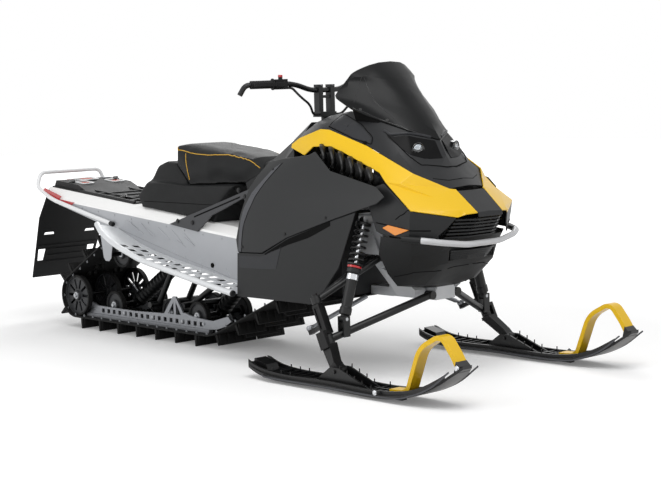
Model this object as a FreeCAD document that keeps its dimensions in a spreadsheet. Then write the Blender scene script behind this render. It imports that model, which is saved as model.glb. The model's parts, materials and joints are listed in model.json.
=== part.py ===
import FreeCAD, Part
import math
import os
from FreeCAD import Placement, Rotation, Vector

# Snowmobile in millimetres: +X forwards, +Y to the rider's left, +Z up.
# The origin is on the ground, in the middle of the length and width.
doc = FreeCAD.newDocument("Snowmobile")
sheet = doc.addObject("Spreadsheet::Sheet", "Sizes")

SIZES = (
    # Track and rear suspension
    ("track_length", 3708, "belt length round the loop, 146 inches"),
    ("track_width", 406, "belt width, 16 inches"),
    ("track_belt", 8, "belt thickness"),
    ("lug_height", 51, "lug height outside the belt, 2 inches"),
    ("lug_rows", 51, "number of lug rows"),
    ("lug_root", 16, "lug thickness at the belt"),
    ("lug_tip", 8, "lug thickness at the tip"),
    ("lug_gap", 70, "gap between the outer lugs of a row"),
    ("lug_inset", 6, "outer lug's distance from the belt's edge"),
    ("inner_lug_width", 190, "width of the middle lug of the other rows"),
    ("rear_wheel_radius", 100, "rear axle wheels"),
    ("idler_radius", 66, "idler wheels on the rails"),
    ("top_idler_radius", 67, "upper idler wheels under the tunnel"),
    ("drive_radius", 82, "drive sprockets"),
    ("drive_x", 303, "drive axle, forwards of the origin"),
    ("drive_z", 360, "drive axle height"),
    ("top_idler_x", -900, "upper idler axle"),
    ("top_idler_z", 378, "upper idler axle height"),
    ("rail_front_x", -225, "end of the flat slide surface"),
    ("rail_bend_radius", 270, "radius of the rails' upturned front"),
    ("rail_spread", 150, "rail centre from the middle"),
    ("rail_wall", 10, "rail web thickness"),
    ("slider_height", 16, "plastic slider under the rail"),
    ("wheel_width", 24, "idler wheel width"),
    ("wheel_bore_gap", 0.3, "clearance of a wheel on its axle"),
    ("axle_radius", 10, "idler axles"),
    ("drive_axle_radius", 18, "drive axle"),
    ("arm_tube_radius", 14, "rear suspension arm tubes"),
    # Tunnel, boards and rear
    ("tunnel_half_width", 215, "tunnel side from the middle"),
    ("tunnel_wall", 3, "tunnel sheet"),
    ("tunnel_chamfer", 43, "bevel between tunnel top and side at the rear end"),
    ("tunnel_front_chamfer", 30, "the same bevel at the front end, clear of the track's lugs"),
    ("tunnel_rear_x", -1420, "rear end of the tunnel"),
    ("tunnel_rear_top", 688, "tunnel top at its rear end"),
    ("tunnel_front_x", 430, "front end of the tunnel"),
    ("tunnel_front_top", 513, "tunnel top at its front end"),
    ("board_wall", 3, "running board sheet"),
    ("board_gap", 0.3, "running board edge from the tunnel side"),
    ("board_tube_radius", 13, "tube along the board's outer edge"),
    ("bumper_tube_radius", 10, "rear bumper tube"),
    ("deck_wall", 6, "cargo deck plate"),
    ("deck_half_width", 172, "cargo deck half width"),
    ("deck_rib", 8, "height of the deck's ribs"),
    ("deck_rear_x", -1395, "rear edge of the cargo deck"),
    ("deck_front_x", -735, "front edge of the cargo deck"),
    ("anchor_radius", 5, "cargo anchor holes"),
    ("anchor_spacing_x", 420, "cargo anchor holes along the deck"),
    ("anchor_spacing_y", 260, "cargo anchor holes across the deck"),
    ("flap_wall", 6, "snow flap sheet"),
    ("tail_lamp_depth", 22, "tail lamp depth"),
    # Seat and console
    ("seat_half_width", 165, "seat cushion half width"),
    ("seat_base_half_width", 196, "seat base half width"),
    ("hump_half_width", 158, "half width of the hump behind the seat"),
    ("seat_edge_radius", 34, "rounding of the cushion's long edges"),
    ("cushion_plan_height", 300, "height of the block that narrows the cushion in plan"),
    ("base_edge_radius", 20, "rounding of the seat base's long edges"),
    ("post_clearance", 0.3, "gap of the steering post in its bearing"),
    ("boot_radius", 46, "opening in the console round the steering post"),
    # Body panels
    ("panel_wall", 5, "moulded body panels"),
    ("strut_wall", 9, "frame strut plate"),
    ("strut_offset", 215.3, "frame strut's inner face from the middle"),
    ("shield_wall", 4, "windshield sheet"),
    ("floor_wall", 4, "belly pan floor"),
    ("floor_z", 290, "belly pan floor height"),
    ("grille_bar", 7, "grille bar height"),
    ("bumper_bar_radius", 12, "front bumper bar"),
    ("lamp_radius", 27, "headlight projector"),
    ("lamp_gap", 0.3, "headlight in its hole"),
    ("bumper_gap", 0.3, "rear bumper tube from the tunnel side"),
    ("louvre_wall", 9, "vent louvre thickness"),
    # Steering
    ("steer_x", 396, "steering axis, forwards of the origin"),
    ("post_radius", 16, "steering post"),
    ("post_length", 162, "steering post below the riser"),
    ("riser_height", 113, "riser from its lower face to the middle of the bar"),
    ("bar_height", 1135, "handlebar height at the clamps"),
    ("bar_radius", 11, "handlebar tube"),
    ("grip_radius", 17, "grips"),
    ("clamp_spread", 34, "clamp centre from the middle"),
    ("riser_width", 24, "riser leg width"),
    ("hose_radius", 5, "hoses from the controls to the steering base"),
    # Front suspension
    ("ski_spread", 500, "ski centre from the middle"),
    ("kingpin_y", 462, "kingpin from the middle"),
    ("kingpin_low_x", 870, "lower kingpin eye"),
    ("kingpin_low_z", 178, "lower kingpin eye height"),
    ("kingpin_length", 161, "distance between the kingpin eyes"),
    ("caster", 24.5, "kingpin tilt in degrees, top rearwards"),
    ("pin_radius", 8, "kingpins and ski bolts"),
    ("pin_clearance", 0.06, "radial running clearance of the pins"),
    ("eye_radius", 20, "arm eye outer radius"),
    ("low_eye_height", 36, "lower arm eye height"),
    ("up_eye_height", 30, "upper arm eye height"),
    ("eye_gap", 2, "gap between an eye and the fork beside it"),
    ("fork_plate", 14, "fork plate thickness"),
    ("spindle_depth", 44, "spindle column fore and aft"),
    ("spindle_width", 36, "spindle column across"),
    ("steer_arm_length", 100, "steering arm behind the kingpin"),
    ("ball_radius", 12, "tie rod ball"),
    ("tie_rod_radius", 9, "tie rod tube"),
    ("lower_tube_radius", 15, "lower arm tubes"),
    ("upper_tube_radius", 12, "upper arm tubes"),
    ("shock_body_radius", 20, "front shock body"),
    ("shock_eye_radius", 16, "shock eyes"),
    ("shock_eye_width", 22, "shock eye width"),
    ("cheek_wall", 6, "plates on both sides of a shock eye"),
    ("spring_radius", 30, "shock spring, middle of the wire"),
    ("spring_wire", 4.5, "shock spring wire radius"),
    ("spring_pitch", 27, "shock spring, one turn along its axis"),
    # Skis
    ("ski_bolt_x", 966, "ski bolt"),
    ("ski_bolt_z", 72, "ski bolt height"),
    ("barrel_radius", 20, "spindle foot round the ski bolt"),
    ("barrel_width", 44, "spindle foot width"),
    ("ear_gap", 2, "gap between the foot and the saddle's ears"),
    ("ear_wall", 9, "saddle ear thickness"),
    ("ski_width", 156, "ski width"),
    ("ski_wall", 12, "ski deck thickness"),
    ("keel_height", 14, "keel and wear bar under the ski"),
    ("keel_width", 26, "keel width"),
    ("ski_rib_height", 14, "raised edges on the ski"),
    ("ski_rib_width", 10, "raised edge width"),
    ("loop_width", 52, "ski loop width"),
    ("loop_wall", 18, "ski loop thickness"),
    # Engine
    ("engine_length", 230, "engine block"),
    ("engine_width", 400, "engine block"),
    ("engine_height", 350, "engine block"),
    ("engine_x", 452, "engine block's rear face"),
    ("engine_z", 295.3, "engine block's lower face"),
)
for row, (alias, number, meaning) in enumerate(SIZES, start=1):
    sheet.set(f"A{row}", meaning)
    sheet.set(f"B{row}", str(number))
    sheet.setAlias(f"B{row}", alias)
doc.recompute()


def size(alias):
    """One driving size from the sheet."""
    return float(sheet.get(alias))


NODES = []


def node(label, piece):
    """Name a finished sub-part; its file is called the same."""
    piece.Label = label
    NODES.append(piece)
    return piece


def stored(name, shape):
    """A shape worked out with Part's own functions, as an object of the document."""
    piece = doc.addObject("Part::Feature", name)
    piece.Shape = shape
    return piece


def group(name, pieces):
    """Like pieces that share a node without touching."""
    compound = doc.addObject("Part::Compound", name)
    compound.Links = pieces
    return compound


def mirrored(name, piece):
    """The same piece on the other side of the machine."""
    twin = doc.addObject("Part::Mirroring", name)
    twin.Source = piece
    twin.Base = Vector(0, 0, 0)
    twin.Normal = Vector(0, 1, 0)
    return twin


def both_sides(label, piece):
    """A piece and its mirror image, held as one node."""
    return node(label, group(label, [piece, mirrored(label + "_left", piece)]))


def joined(name, first, second):
    """Two pieces that are made as one solid."""
    union = doc.addObject("Part::Fuse", name)
    union.Base = first
    union.Tool = second
    return union


def close_loop(points):
    """Pairs of neighbouring points round a closed outline."""
    return zip(points, points[1:] + points[:1])


def plate(name, plane, outline, thickness, middle, holes=(), rounds=()):
    """A flat plate: an outline sketched on an origin plane and padded both ways from its middle."""
    body = doc.addObject("PartDesign::Body", name)
    origin_plane = [face for face in body.Origin.OriginFeatures if face.Role == plane][0]
    sketch = body.newObject("Sketcher::SketchObject", name + "_outline")
    sketch.AttachmentSupport = (origin_plane, [""])
    sketch.MapMode = "FlatFace"
    for loop in [list(outline)] + [list(hole) for hole in holes]:
        for first, second in close_loop(loop):
            sketch.addGeometry(Part.LineSegment(Vector(*first, 0), Vector(*second, 0)))
    for across, up, radius in rounds:
        sketch.addGeometry(Part.Circle(Vector(across, up, 0), Vector(0, 0, 1), radius))
    pad = body.newObject("PartDesign::Pad", name + "_pad")
    pad.Profile = sketch
    pad.SideType = "Symmetric"
    pad.setExpression("Length", thickness)
    body.Tip = pad
    body.Placement = Placement(middle, Rotation())
    return body


def turned(name, profile, middle, axis=Vector(0, 1, 0)):
    """A round piece: a half section of (along, radius) points turned about its axis."""
    ring = [Vector(radius, 0, along) for along, radius in profile]
    face = Part.Face(Part.makePolygon(ring + ring[:1]))
    solid = face.revolve(Vector(0, 0, 0), Vector(0, 0, 1), 360)
    solid.Placement = Placement(middle, Rotation(Vector(0, 0, 1), axis))
    return stored(name, solid)


def rod(first, second, radius):
    """A round bar between two points."""
    return Part.makeCylinder(radius, (second - first).Length, first, second - first)


def box_between(low, high):
    """A box by its lowest and highest corners."""
    span = high - low
    return Part.makeBox(span.x, span.y, span.z, low)


def rounded_path(points, share=0.45):
    """Straight runs joined by tangent arcs that take a share of the shorter run."""
    edges = []
    last = points[0]
    for before, corner, after in zip(points, points[1:], points[2:]):
        back = (before - corner).normalize()
        ahead = (after - corner).normalize()
        half = back.getAngle(ahead) / 2
        reach = share * min((before - corner).Length, (after - corner).Length)
        radius = reach * math.tan(half)
        start = corner + back * reach
        end = corner + ahead * reach
        middle = corner + (back + ahead).normalize() * (radius / math.sin(half) - radius)
        edges.append(Part.LineSegment(last, start).toShape())
        edges.append(Part.Arc(start, middle, end).toShape())
        last = end
    edges.append(Part.LineSegment(last, points[-1]).toShape())
    return Part.Wire(edges)


def tube(name, points, radius, share=0.45):
    """A bent tube: a circle of the sheet's radius swept along straight runs and tangent arcs."""
    spine = stored(name + "_spine", rounded_path(points, share))
    circle = doc.addObject("Part::Circle", name + "_section")
    circle.setExpression("Radius", radius)
    circle.Placement = Placement(points[0], Rotation(Vector(0, 0, 1), points[1] - points[0]))
    sweep = doc.addObject("Part::Sweep", name)
    sweep.Sections = [circle]
    sweep.Spine = (spine, [])
    sweep.Solid = True
    return sweep


def band(points, across, wall, share=0.45):
    """A flat bar swept along a path that lies in a plane square to across."""
    path = rounded_path(points, share)
    run = (points[1] - points[0]).normalize()
    side = across * 0.5
    rise = run.cross(across).normalize() * (wall / 2)
    ring = [points[0] + side + rise, points[0] - side + rise, points[0] - side - rise,
            points[0] + side - rise]
    return path.makePipeShell([Part.makePolygon(ring + ring[:1])], True, False)


def grid(rows):
    """Corner numbers of the triangles between neighbouring rows of points."""
    wide = len(rows[0])
    points = [Vector(*point) for row in rows for point in row]
    triangles = []
    for row in range(len(rows) - 1):
        for column in range(wide - 1):
            a = row * wide + column
            b = a + wide
            triangles += [(a, a + 1, b + 1), (a, b + 1, b)]
    return points, triangles


def fans(corners, facets):
    """Corner numbers of the triangles of named facets, each cut from its first corner."""
    names = list(corners)
    points = [Vector(*corners[name]) for name in names]
    triangles = []
    for facet in facets:
        ring = [names.index(name) for name in facet.split()]
        triangles += [(ring[0], ring[i], ring[i + 1]) for i in range(1, len(ring) - 1)]
    return points, triangles


def flat_face(points):
    return Part.Face(Part.makePolygon(points + points[:1]))


def ring_face(wires):
    """A flat face whose first wire is its edge and whose others are holes."""
    return Part.makeFace(wires, "Part::FaceMakerBullseye")


def panel_shape(points, triangles, wall, inside):
    """A moulded panel: triangles facing away from inside, copied inwards by the wall."""
    triangles = [t for t in triangles
                 if (points[t[1]] - points[t[0]]).cross(points[t[2]] - points[t[0]]).Length > 1e-3]
    facing = sum((points[a] - inside).dot((points[b] - points[a]).cross(points[c] - points[a]))
                 for a, b, c in triangles)
    if facing < 0:
        triangles = [(a, c, b) for a, b, c in triangles]
    normals = [Vector() for point in points]
    for a, b, c in triangles:
        normal = (points[b] - points[a]).cross(points[c] - points[a]).normalize()
        for corner in (a, b, c):
            normals[corner] += normal
    inner = [point - normal.normalize() * wall if normal.Length > 0 else point
             for point, normal in zip(points, normals)]
    rims = {}
    faces = []
    for a, b, c in triangles:
        faces.append(flat_face([points[a], points[b], points[c]]))
        faces.append(flat_face([inner[c], inner[b], inner[a]]))
        for first, second in ((a, b), (b, c), (c, a)):
            if (second, first) in rims:
                del rims[(second, first)]
            else:
                rims[(first, second)] = True
    for first, second in rims:
        faces.append(flat_face([points[second], points[first], inner[first]]))
        faces.append(flat_face([points[second], inner[first], inner[second]]))
    shell = Part.Shell(faces)
    solid = Part.Solid(shell)
    if solid.Volume < 0:
        solid.reverse()
    return solid.removeSplitter()


def across_middle(rows):
    """Rows that run from the middle to the right, continued to the left."""
    return [[(x, -y, z) for x, y, z in reversed(row[1:])] + list(row) for row in rows]


# Track loop
def around(centre, radius, angle):
    return Vector(centre.x + radius * math.cos(angle), 0, centre.z + radius * math.sin(angle))


def track_circles(rear_x):
    """Wheels and rail bends that the belt runs round, anticlockwise seen from the right side."""
    slide_z = size("lug_height") + size("track_belt")
    bend = size("rail_bend_radius")
    return [
        (Vector(rear_x, 0, slide_z + size("rear_wheel_radius")), size("rear_wheel_radius")),
        (Vector(size("rail_front_x"), 0, slide_z + bend), bend),
        (Vector(size("drive_x"), 0, size("drive_z")), size("drive_radius")),
        (Vector(size("top_idler_x"), 0, size("top_idler_z")), size("top_idler_radius")),
    ]


def track_path(rear_x, offset):
    """The belt's path at an offset outside the wheels: one arc and one tangent run for each wheel."""
    circles = [(centre, radius + offset) for centre, radius in track_circles(rear_x)]
    angles = []
    for (first, radius_1), (second, radius_2) in close_loop(circles):
        line = second - first
        angle = math.atan2(line.z, line.x) - math.acos((radius_1 - radius_2) / line.Length)
        angles.append(angle)
    edges = []
    for index, (centre, radius) in enumerate(circles):
        start = angles[index - 1]
        end = angles[index]
        while end < start:
            end += 2 * math.pi
        arc = [around(centre, radius, start + (end - start) * part) for part in (0, 0.5, 1)]
        edges.append(Part.Arc(*arc).toShape())
        after, after_radius = circles[(index + 1) % len(circles)]
        edges.append(Part.LineSegment(arc[2], around(after, after_radius, angles[index])).toShape())
    return edges


def rear_axle_x():
    """The rear axle stands where the belt has its length, found by halving."""
    near, far = size("top_idler_x") - 50, size("top_idler_x") - 1200
    for step in range(40):
        middle = (near + far) / 2
        if sum(edge.Length for edge in track_path(middle, size("track_belt") / 2)) < size("track_length"):
            near = middle
        else:
            far = middle
    return (near + far) / 2


REAR_X = rear_axle_x()
SLIDE_Z = size("lug_height") + size("track_belt")
REAR_Z = SLIDE_Z + size("rear_wheel_radius")


def track_shape():
    """The belt loop with its rows of lugs, by turns two outer lugs and one in the middle."""
    half = size("track_width") / 2
    outer = Part.Wire(track_path(REAR_X, size("track_belt")))
    inner = Part.Wire(track_path(REAR_X, 0))
    belt = ring_face([outer, inner]).extrude(Vector(0, 2 * half, 0))
    belt.translate(Vector(0, -half, 0))
    edges = track_path(REAR_X, size("track_belt"))
    total = sum(edge.Length for edge in edges)
    rows = int(size("lug_rows"))
    sink = size("track_belt") / 3
    lugs = []
    for row in range(rows):
        along = (row + 0.5) * total / rows
        for edge in edges:
            if along <= edge.Length:
                break
            along -= edge.Length
        parameter = edge.getParameterByLength(along)
        point = edge.valueAt(parameter)
        run = edge.tangentAt(parameter)
        outward = Vector(run.z, 0, -run.x)
        root = run * (size("lug_root") / 2)
        tip = run * (size("lug_tip") / 2)
        base = point - outward * sink
        top = point + outward * size("lug_height")
        if row % 2:
            spans = [(-size("inner_lug_width") / 2, size("inner_lug_width") / 2)]
        else:
            low = size("lug_gap") / 2
            high = half - size("lug_inset")
            spans = [(-high, -low), (low, high)]
        for start, end in spans:
            ring = [base - root, base + root, top + tip, top - tip]
            face = flat_face([corner + Vector(0, start, 0) for corner in ring])
            lugs.append(face.extrude(Vector(0, end - start, 0)))
    return belt.fuse(lugs)


node("track", stored("track", track_shape()))


# Slide rails
def rail_outline():
    """Side outline of a rail: flat slide surface, upturned front and a truss for the front arm."""
    low = SLIDE_Z + size("slider_height")
    front = size("rail_front_x")
    bend = size("rail_bend_radius") - size("slider_height")
    centre_z = SLIDE_Z + size("rail_bend_radius")
    nose = [(front + bend * math.sin(math.radians(a)), centre_z - bend * math.cos(math.radians(a)))
            for a in (0, 12, 24, 36)]
    high = low + 40
    return ([(REAR_X + 40, low)] + nose
            + [(nose[-1][0] - 22, nose[-1][1] + 22), (front + 20, high), (front - 90, high + 6),
               (front - 190, high + 20), (front - 240, 205), (front - 262, 205), (front - 330, high + 6),
               (front - 560, high - 2), (REAR_X + 130, high), (REAR_X + 60, high + 20),
               (REAR_X + 8, REAR_Z + 24), (REAR_X - 18, REAR_Z + 20), (REAR_X - 28, REAR_Z - 12)])


def rail_holes():
    """Lightening holes along the rail and the two triangles of the truss."""
    low = SLIDE_Z + size("slider_height")
    front = size("rail_front_x")
    pitch = 44
    holes = []
    for index in range(int((front - 60 - REAR_X - 110) / pitch)):
        x = front - 60 - pitch * index
        holes.append([(x - 11, low + 9), (x + 11, low + 9), (x + 11, low + 29), (x - 11, low + 29)])
    holes.append([(front - 258, low + 48), (front - 258, 180), (front - 300, low + 48)])
    holes.append([(front - 242, low + 48), (front - 206, low + 48), (front - 242, 180)])
    return holes


rail = plate("slide_rail", "XZ_Plane", rail_outline(), "Sizes.rail_wall",
             Vector(0, -size("rail_spread"), 0), rail_holes(),
             [(REAR_X, REAR_Z, size("axle_radius") + size("wheel_bore_gap"))])

slider_line = [(REAR_X + 40, SLIDE_Z), (size("rail_front_x"), SLIDE_Z),
               (size("rail_front_x"), SLIDE_Z + size("slider_height")),
               (REAR_X + 40, SLIDE_Z + size("slider_height"))]
slider = plate("slider", "XZ_Plane", slider_line, "Sizes.rail_wall + 14",
               Vector(0, -size("rail_spread"), 0))
both_sides("slide_rails", joined("rail_and_slider", rail, slider))


# Wheels and axles
def wheel_profile(radius, width, bore):
    """Half section of an idler wheel: hub, thin web and rubber rim."""
    half = width / 2
    return [(-half - 4, bore), (half + 4, bore), (half + 4, bore + 12), (4, bore + 16), (4, radius - 12),
            (half, radius - 10), (half, radius), (-half, radius), (-half, radius - 10),
            (-4, radius - 12), (-4, bore + 16), (-half - 4, bore + 12)]


WHEEL_BORE = size("axle_radius") + size("wheel_bore_gap")
RAIL_SIDE = size("rail_spread") - size("rail_wall") / 2
IDLER_Z = SLIDE_Z + size("idler_radius")
MID_WHEELS = (size("rail_front_x") - 106, size("rail_front_x") - 300, size("rail_front_x") - 738)


def wheel_solid(x, y, z, radius):
    shape = turned("wheel", wheel_profile(radius, size("wheel_width"), WHEEL_BORE), Vector(x, y, z))
    return shape


def spoked(wheel, x, y, z, radius):
    """Cut ten slots between the spokes of a rear wheel."""
    slots = []
    for index in range(10):
        slot = Part.makeBox(radius - 52, 40, 13, Vector(32, -20, -6.5))
        slot.rotate(Vector(0, 0, 0), Vector(0, 1, 0), index * 36)
        slot.translate(Vector(x, y, z))
        slots.append(slot)
    return stored("spoked_wheel", wheel.Shape.cut(slots))


def axle(x, z, half_length, radius):
    return stored("axle", rod(Vector(x, -half_length, z), Vector(x, half_length, z), radius))


doc.recompute()
wheels = []
inner_y = RAIL_SIDE - size("wheel_width") / 2 - 8
outer_y = size("rail_spread") + size("rail_wall") / 2 + size("wheel_width") / 2 + 8
for side in (-1, 1):
    rear = wheel_solid(REAR_X, side * outer_y, REAR_Z, size("rear_wheel_radius") - 0.3)
    wheels.append(spoked(rear, REAR_X, side * outer_y, REAR_Z, size("rear_wheel_radius")))
    for x in MID_WHEELS:
        wheels.append(wheel_solid(x, side * inner_y, IDLER_Z, size("idler_radius") - 0.3))
    wheels.append(wheel_solid(size("top_idler_x"), side * 120, size("top_idler_z"),
                              size("top_idler_radius") - 0.3))
wheels.append(spoked(wheel_solid(REAR_X, 0, REAR_Z, size("rear_wheel_radius") - 0.3), REAR_X, 0,
                     REAR_Z, size("rear_wheel_radius")))
node("idler_wheels", group("idler_wheels", wheels))

axles = [axle(REAR_X, REAR_Z, outer_y + 20, size("axle_radius"))]
for x in MID_WHEELS:
    axles.append(axle(x, IDLER_Z, RAIL_SIDE - 0.1, size("axle_radius")))
axles.append(axle(size("top_idler_x"), size("top_idler_z"), size("tunnel_half_width") - size("tunnel_wall"),
                  size("axle_radius")))


def sprocket(y):
    """A drive sprocket with eight teeth between its web and rim."""
    body = turned("sprocket", wheel_profile(size("drive_radius") - 0.3, 30, size("drive_axle_radius")),
                  Vector(size("drive_x"), y, size("drive_z")))
    return body.Shape


drive = rod(Vector(size("drive_x"), -size("tunnel_half_width") + size("tunnel_wall"), size("drive_z")),
            Vector(size("drive_x"), size("tunnel_half_width") - size("tunnel_wall"), size("drive_z")),
            size("drive_axle_radius"))
node("drive_axle", stored("drive_axle", drive.fuse([sprocket(-95), sprocket(95)])))


# Rear suspension arms and shocks, inside the track loop
ARM_TOPS = ((-30, 400), (-500, 416))


def rear_suspension():
    """Front and rear arms as ladders of two tubes with cross tubes, each from the tunnel to the rails."""
    radius = size("arm_tube_radius")
    tunnel_in = size("tunnel_half_width") - size("tunnel_wall") - 0.3
    pieces = []
    for top, bottom in zip(ARM_TOPS, ((MID_WHEELS[0] - 96, 165), (MID_WHEELS[1] - 150, 150))):
        tubes = []
        for side in (-1, 1):
            tubes.append(rod(Vector(top[0], side * 88, top[1]), Vector(bottom[0], side * 88, bottom[1]), radius))
        tubes.append(rod(Vector(top[0], -tunnel_in, top[1]), Vector(top[0], tunnel_in, top[1]), radius))
        tubes.append(rod(Vector(bottom[0], -RAIL_SIDE + 0.3, bottom[1]),
                         Vector(bottom[0], RAIL_SIDE - 0.3, bottom[1]), radius))
        pieces.append(stored("arm", tubes[0].fuse(tubes[1:])))
    return pieces


def coil_over(top, bottom, body_radius, coil_radius, wire, eye_width):
    """A shock with eyes, body, rod, spring seats and its spring, turned as a row of ridges."""
    line = bottom - top
    length = line.Length
    eye = size("shock_eye_radius")
    frame = Placement(top, Rotation(Vector(1, 0, 0), Vector(0, 1, 0), line, "ZXY"))
    first_seat = 34.0
    last_seat = length - 52.0
    damper = Part.makeCylinder(body_radius * 0.55, length - 40, Vector(0, 0, 20))
    damper = damper.fuse([
        Part.makeCylinder(body_radius, length * 0.45, Vector(0, 0, first_seat)),
        Part.makeCylinder(coil_radius + wire, 7, Vector(0, 0, first_seat - 7)),
        Part.makeCylinder(coil_radius + wire, 7, Vector(0, 0, last_seat)),
        Part.makeCylinder(body_radius * 0.9, 14, Vector(0, 0, last_seat + 4)),
        Part.makeCylinder(eye, eye_width, Vector(-eye_width / 2, 0, eye), Vector(1, 0, 0)),
        Part.makeCylinder(eye, eye_width, Vector(-eye_width / 2, 0, length - eye), Vector(1, 0, 0)),
    ])
    turns = round((last_seat - first_seat) / size("spring_pitch"))
    pitch = (last_seat - first_seat) / turns
    section = [(body_radius - 1, first_seat - 1)]
    for index in range(turns):
        base = first_seat + pitch * index
        section += [(coil_radius - wire, base + pitch * 0.1), (coil_radius + wire, base + pitch * 0.35),
                    (coil_radius + wire, base + pitch * 0.65), (coil_radius - wire, base + pitch * 0.9)]
    section.append((body_radius - 1, last_seat + 1))
    ring = [Vector(radius, 0, height) for radius, height in section]
    sleeve = Part.Face(Part.makePolygon(ring + ring[:1])).revolve(Vector(0, 0, 0), Vector(0, 0, 1), 360)
    shape = damper.fuse(sleeve)
    shape.Placement = frame
    return shape


def rear_shocks():
    """A coil-over inside each arm, from its upper cross tube down to a wheel axle."""
    ends = ((Vector(ARM_TOPS[0][0], 0, ARM_TOPS[0][1]), Vector(MID_WHEELS[0], 0, IDLER_Z)),
            (Vector(ARM_TOPS[1][0], 0, ARM_TOPS[1][1]), Vector(MID_WHEELS[2], 0, IDLER_Z)))
    shocks = []
    for top, bottom in ends:
        run = (bottom - top).normalize()
        eye_middle = size("shock_eye_radius")
        shocks.append(coil_over(top - run * eye_middle, bottom + run * eye_middle, size("shock_body_radius"),
                                size("spring_radius"), size("spring_wire"), 40))
    return shocks


arms = rear_suspension()
rear_shock, long_shock = rear_shocks()
front_set = arms[0].Shape.fuse([axles[1].Shape, rear_shock])
rear_set = arms[1].Shape.fuse([axles[3].Shape, long_shock])
parts = [axles[0], axles[2], axles[4], stored("front_arm_set", front_set), stored("rear_arm_set", rear_set)]
node("rear_suspension", group("rear_suspension", parts))



# Tunnel
def tunnel_top(x):
    """Height of the tunnel's top face at x."""
    rear, front = size("tunnel_rear_x"), size("tunnel_front_x")
    part = (x - rear) / (front - rear)
    return size("tunnel_rear_top") + part * (size("tunnel_front_top") - size("tunnel_rear_top"))


def tunnel_block(inset, rear, front):
    """A bevelled bar with the tunnel's section, drawn in by inset on its top and sides."""
    half = size("tunnel_half_width") - inset
    rings = []
    for x, bevel in ((rear, size("tunnel_chamfer")), (front, size("tunnel_front_chamfer"))):
        top = tunnel_top(x) - inset
        ring = [Vector(x, -half, 0), Vector(x, -half, top - bevel), Vector(x, -half + bevel, top),
                Vector(x, half - bevel, top), Vector(x, half, top - bevel), Vector(x, half, 0)]
        rings.append(Part.makePolygon(ring + ring[:1]))
    return Part.makeLoft(rings, True, True)


ANCHOR_X = (size("deck_rear_x") + 120, size("deck_rear_x") + 120 + size("anchor_spacing_x"))


def anchor_holes(radius):
    """Round cutters at the four cargo anchors."""
    return [Part.makeCylinder(radius, 300, Vector(x, side * size("anchor_spacing_y") / 2, 560))
            for x in ANCHOR_X for side in (-1, 1)]


# Pressed ribs on the tunnel's side, each as its upper and lower end
TUNNEL_RIBS = (((-746, 550), (-628, 494)), ((-648, 543), (-536, 486)), ((-518, 531), (-436, 479)),
               ((-416, 521), (-349, 469)), ((-328, 509), (-258, 457)))
RIB_HEIGHT = 2.5
RIB_WIDTH = 22


def tunnel_extras():
    """Pressed ribs and the brackets that hold the upper idler's axle, on both sides."""
    half = size("tunnel_half_width")
    wall = size("tunnel_wall")
    idler = Vector(size("top_idler_x"), 0, size("top_idler_z"))
    pieces = []
    for side in (-1, 1):
        for (x1, z1), (x2, z2) in TUNNEL_RIBS:
            ring = [Vector(x1, side * (half - 1), z1), Vector(x2, side * (half - 1), z2),
                    Vector(x2 + RIB_WIDTH, side * (half - 1), z2), Vector(x1 + RIB_WIDTH, side * (half - 1), z1)]
            pieces.append(flat_face(ring).extrude(Vector(0, side * (RIB_HEIGHT + 1), 0)))
        bracket = [idler + Vector(dx, side * (half - wall), dz)
                   for dx, dz in ((-62, 172), (64, 138), (30, -14), (14, -28), (-14, -28), (-28, -12))]
        pieces.append(flat_face(bracket).extrude(Vector(0, side * wall, 0)))
    return pieces


SIDE_LOW = [(size("tunnel_rear_x") + 62, 655), (size("tunnel_rear_x") + 145, 603), (-829, 500),
            (-566, 412), (-348, 372), (30, 313), (size("tunnel_front_x"), 295.3)]


def tunnel_shape():
    """The tunnel: one folded sheet, open below, with the side cut along the running boards."""
    rear, front = size("tunnel_rear_x"), size("tunnel_front_x")
    side = [Vector(x, -400, z) for x, z in SIDE_LOW]
    side += [Vector(front, -400, 900), Vector(rear, -400, 900), Vector(rear, -400, size("tunnel_rear_top") - 10)]
    slab = flat_face(side).extrude(Vector(0, 800, 0))
    wall = size("tunnel_wall")
    outer = tunnel_block(0, rear, front).common(slab)
    sheet_shape = outer.cut(tunnel_block(wall, rear - 10, front + 10)).fuse(tunnel_extras())
    return sheet_shape.cut(anchor_holes(size("anchor_radius") + 3))


node("tunnel", stored("tunnel", tunnel_shape()))


# Running boards
BOARD_TUBE = [Vector(-811, -330, 539), Vector(-740, -360, 508), Vector(-645, -380, 473),
              Vector(-544, -400, 448), Vector(-384, -402, 401), Vector(11, -402, 335),
              Vector(234, -400, 300)]


def board_shape():
    """The tread sheet between the tunnel side and the outer tube, with rows of grip slots."""
    inner = -(size("tunnel_half_width") + size("board_gap"))
    low = [(-805, inner, 512), (-740, inner, 487), (-645, inner, 452), (-544, inner, 424),
           (-384, inner, 392), (11, inner, 328), (234, inner, 300)]
    outer = [(p.x, p.y + size("board_tube_radius") * 0.5, p.z) for p in BOARD_TUBE]
    points, triangles = grid([low, outer])
    sheet_shape = panel_shape(points, triangles, size("board_wall"), Vector(-200, -300, -400))
    slots = []
    for index in range(13):
        for row in range(2):
            x = -600 + 60 * index
            slots.append(Part.makeBox(34, 44, 400, Vector(x, -300 - 70 * row, 250)))
    return sheet_shape.cut(slots)


rail_tube = tube("board_tube", BOARD_TUBE, "Sizes.board_tube_radius", 0.3)
doc.recompute()
board = stored("running_board", board_shape().fuse(rail_tube.Shape))
both_sides("running_boards", board)


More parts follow.
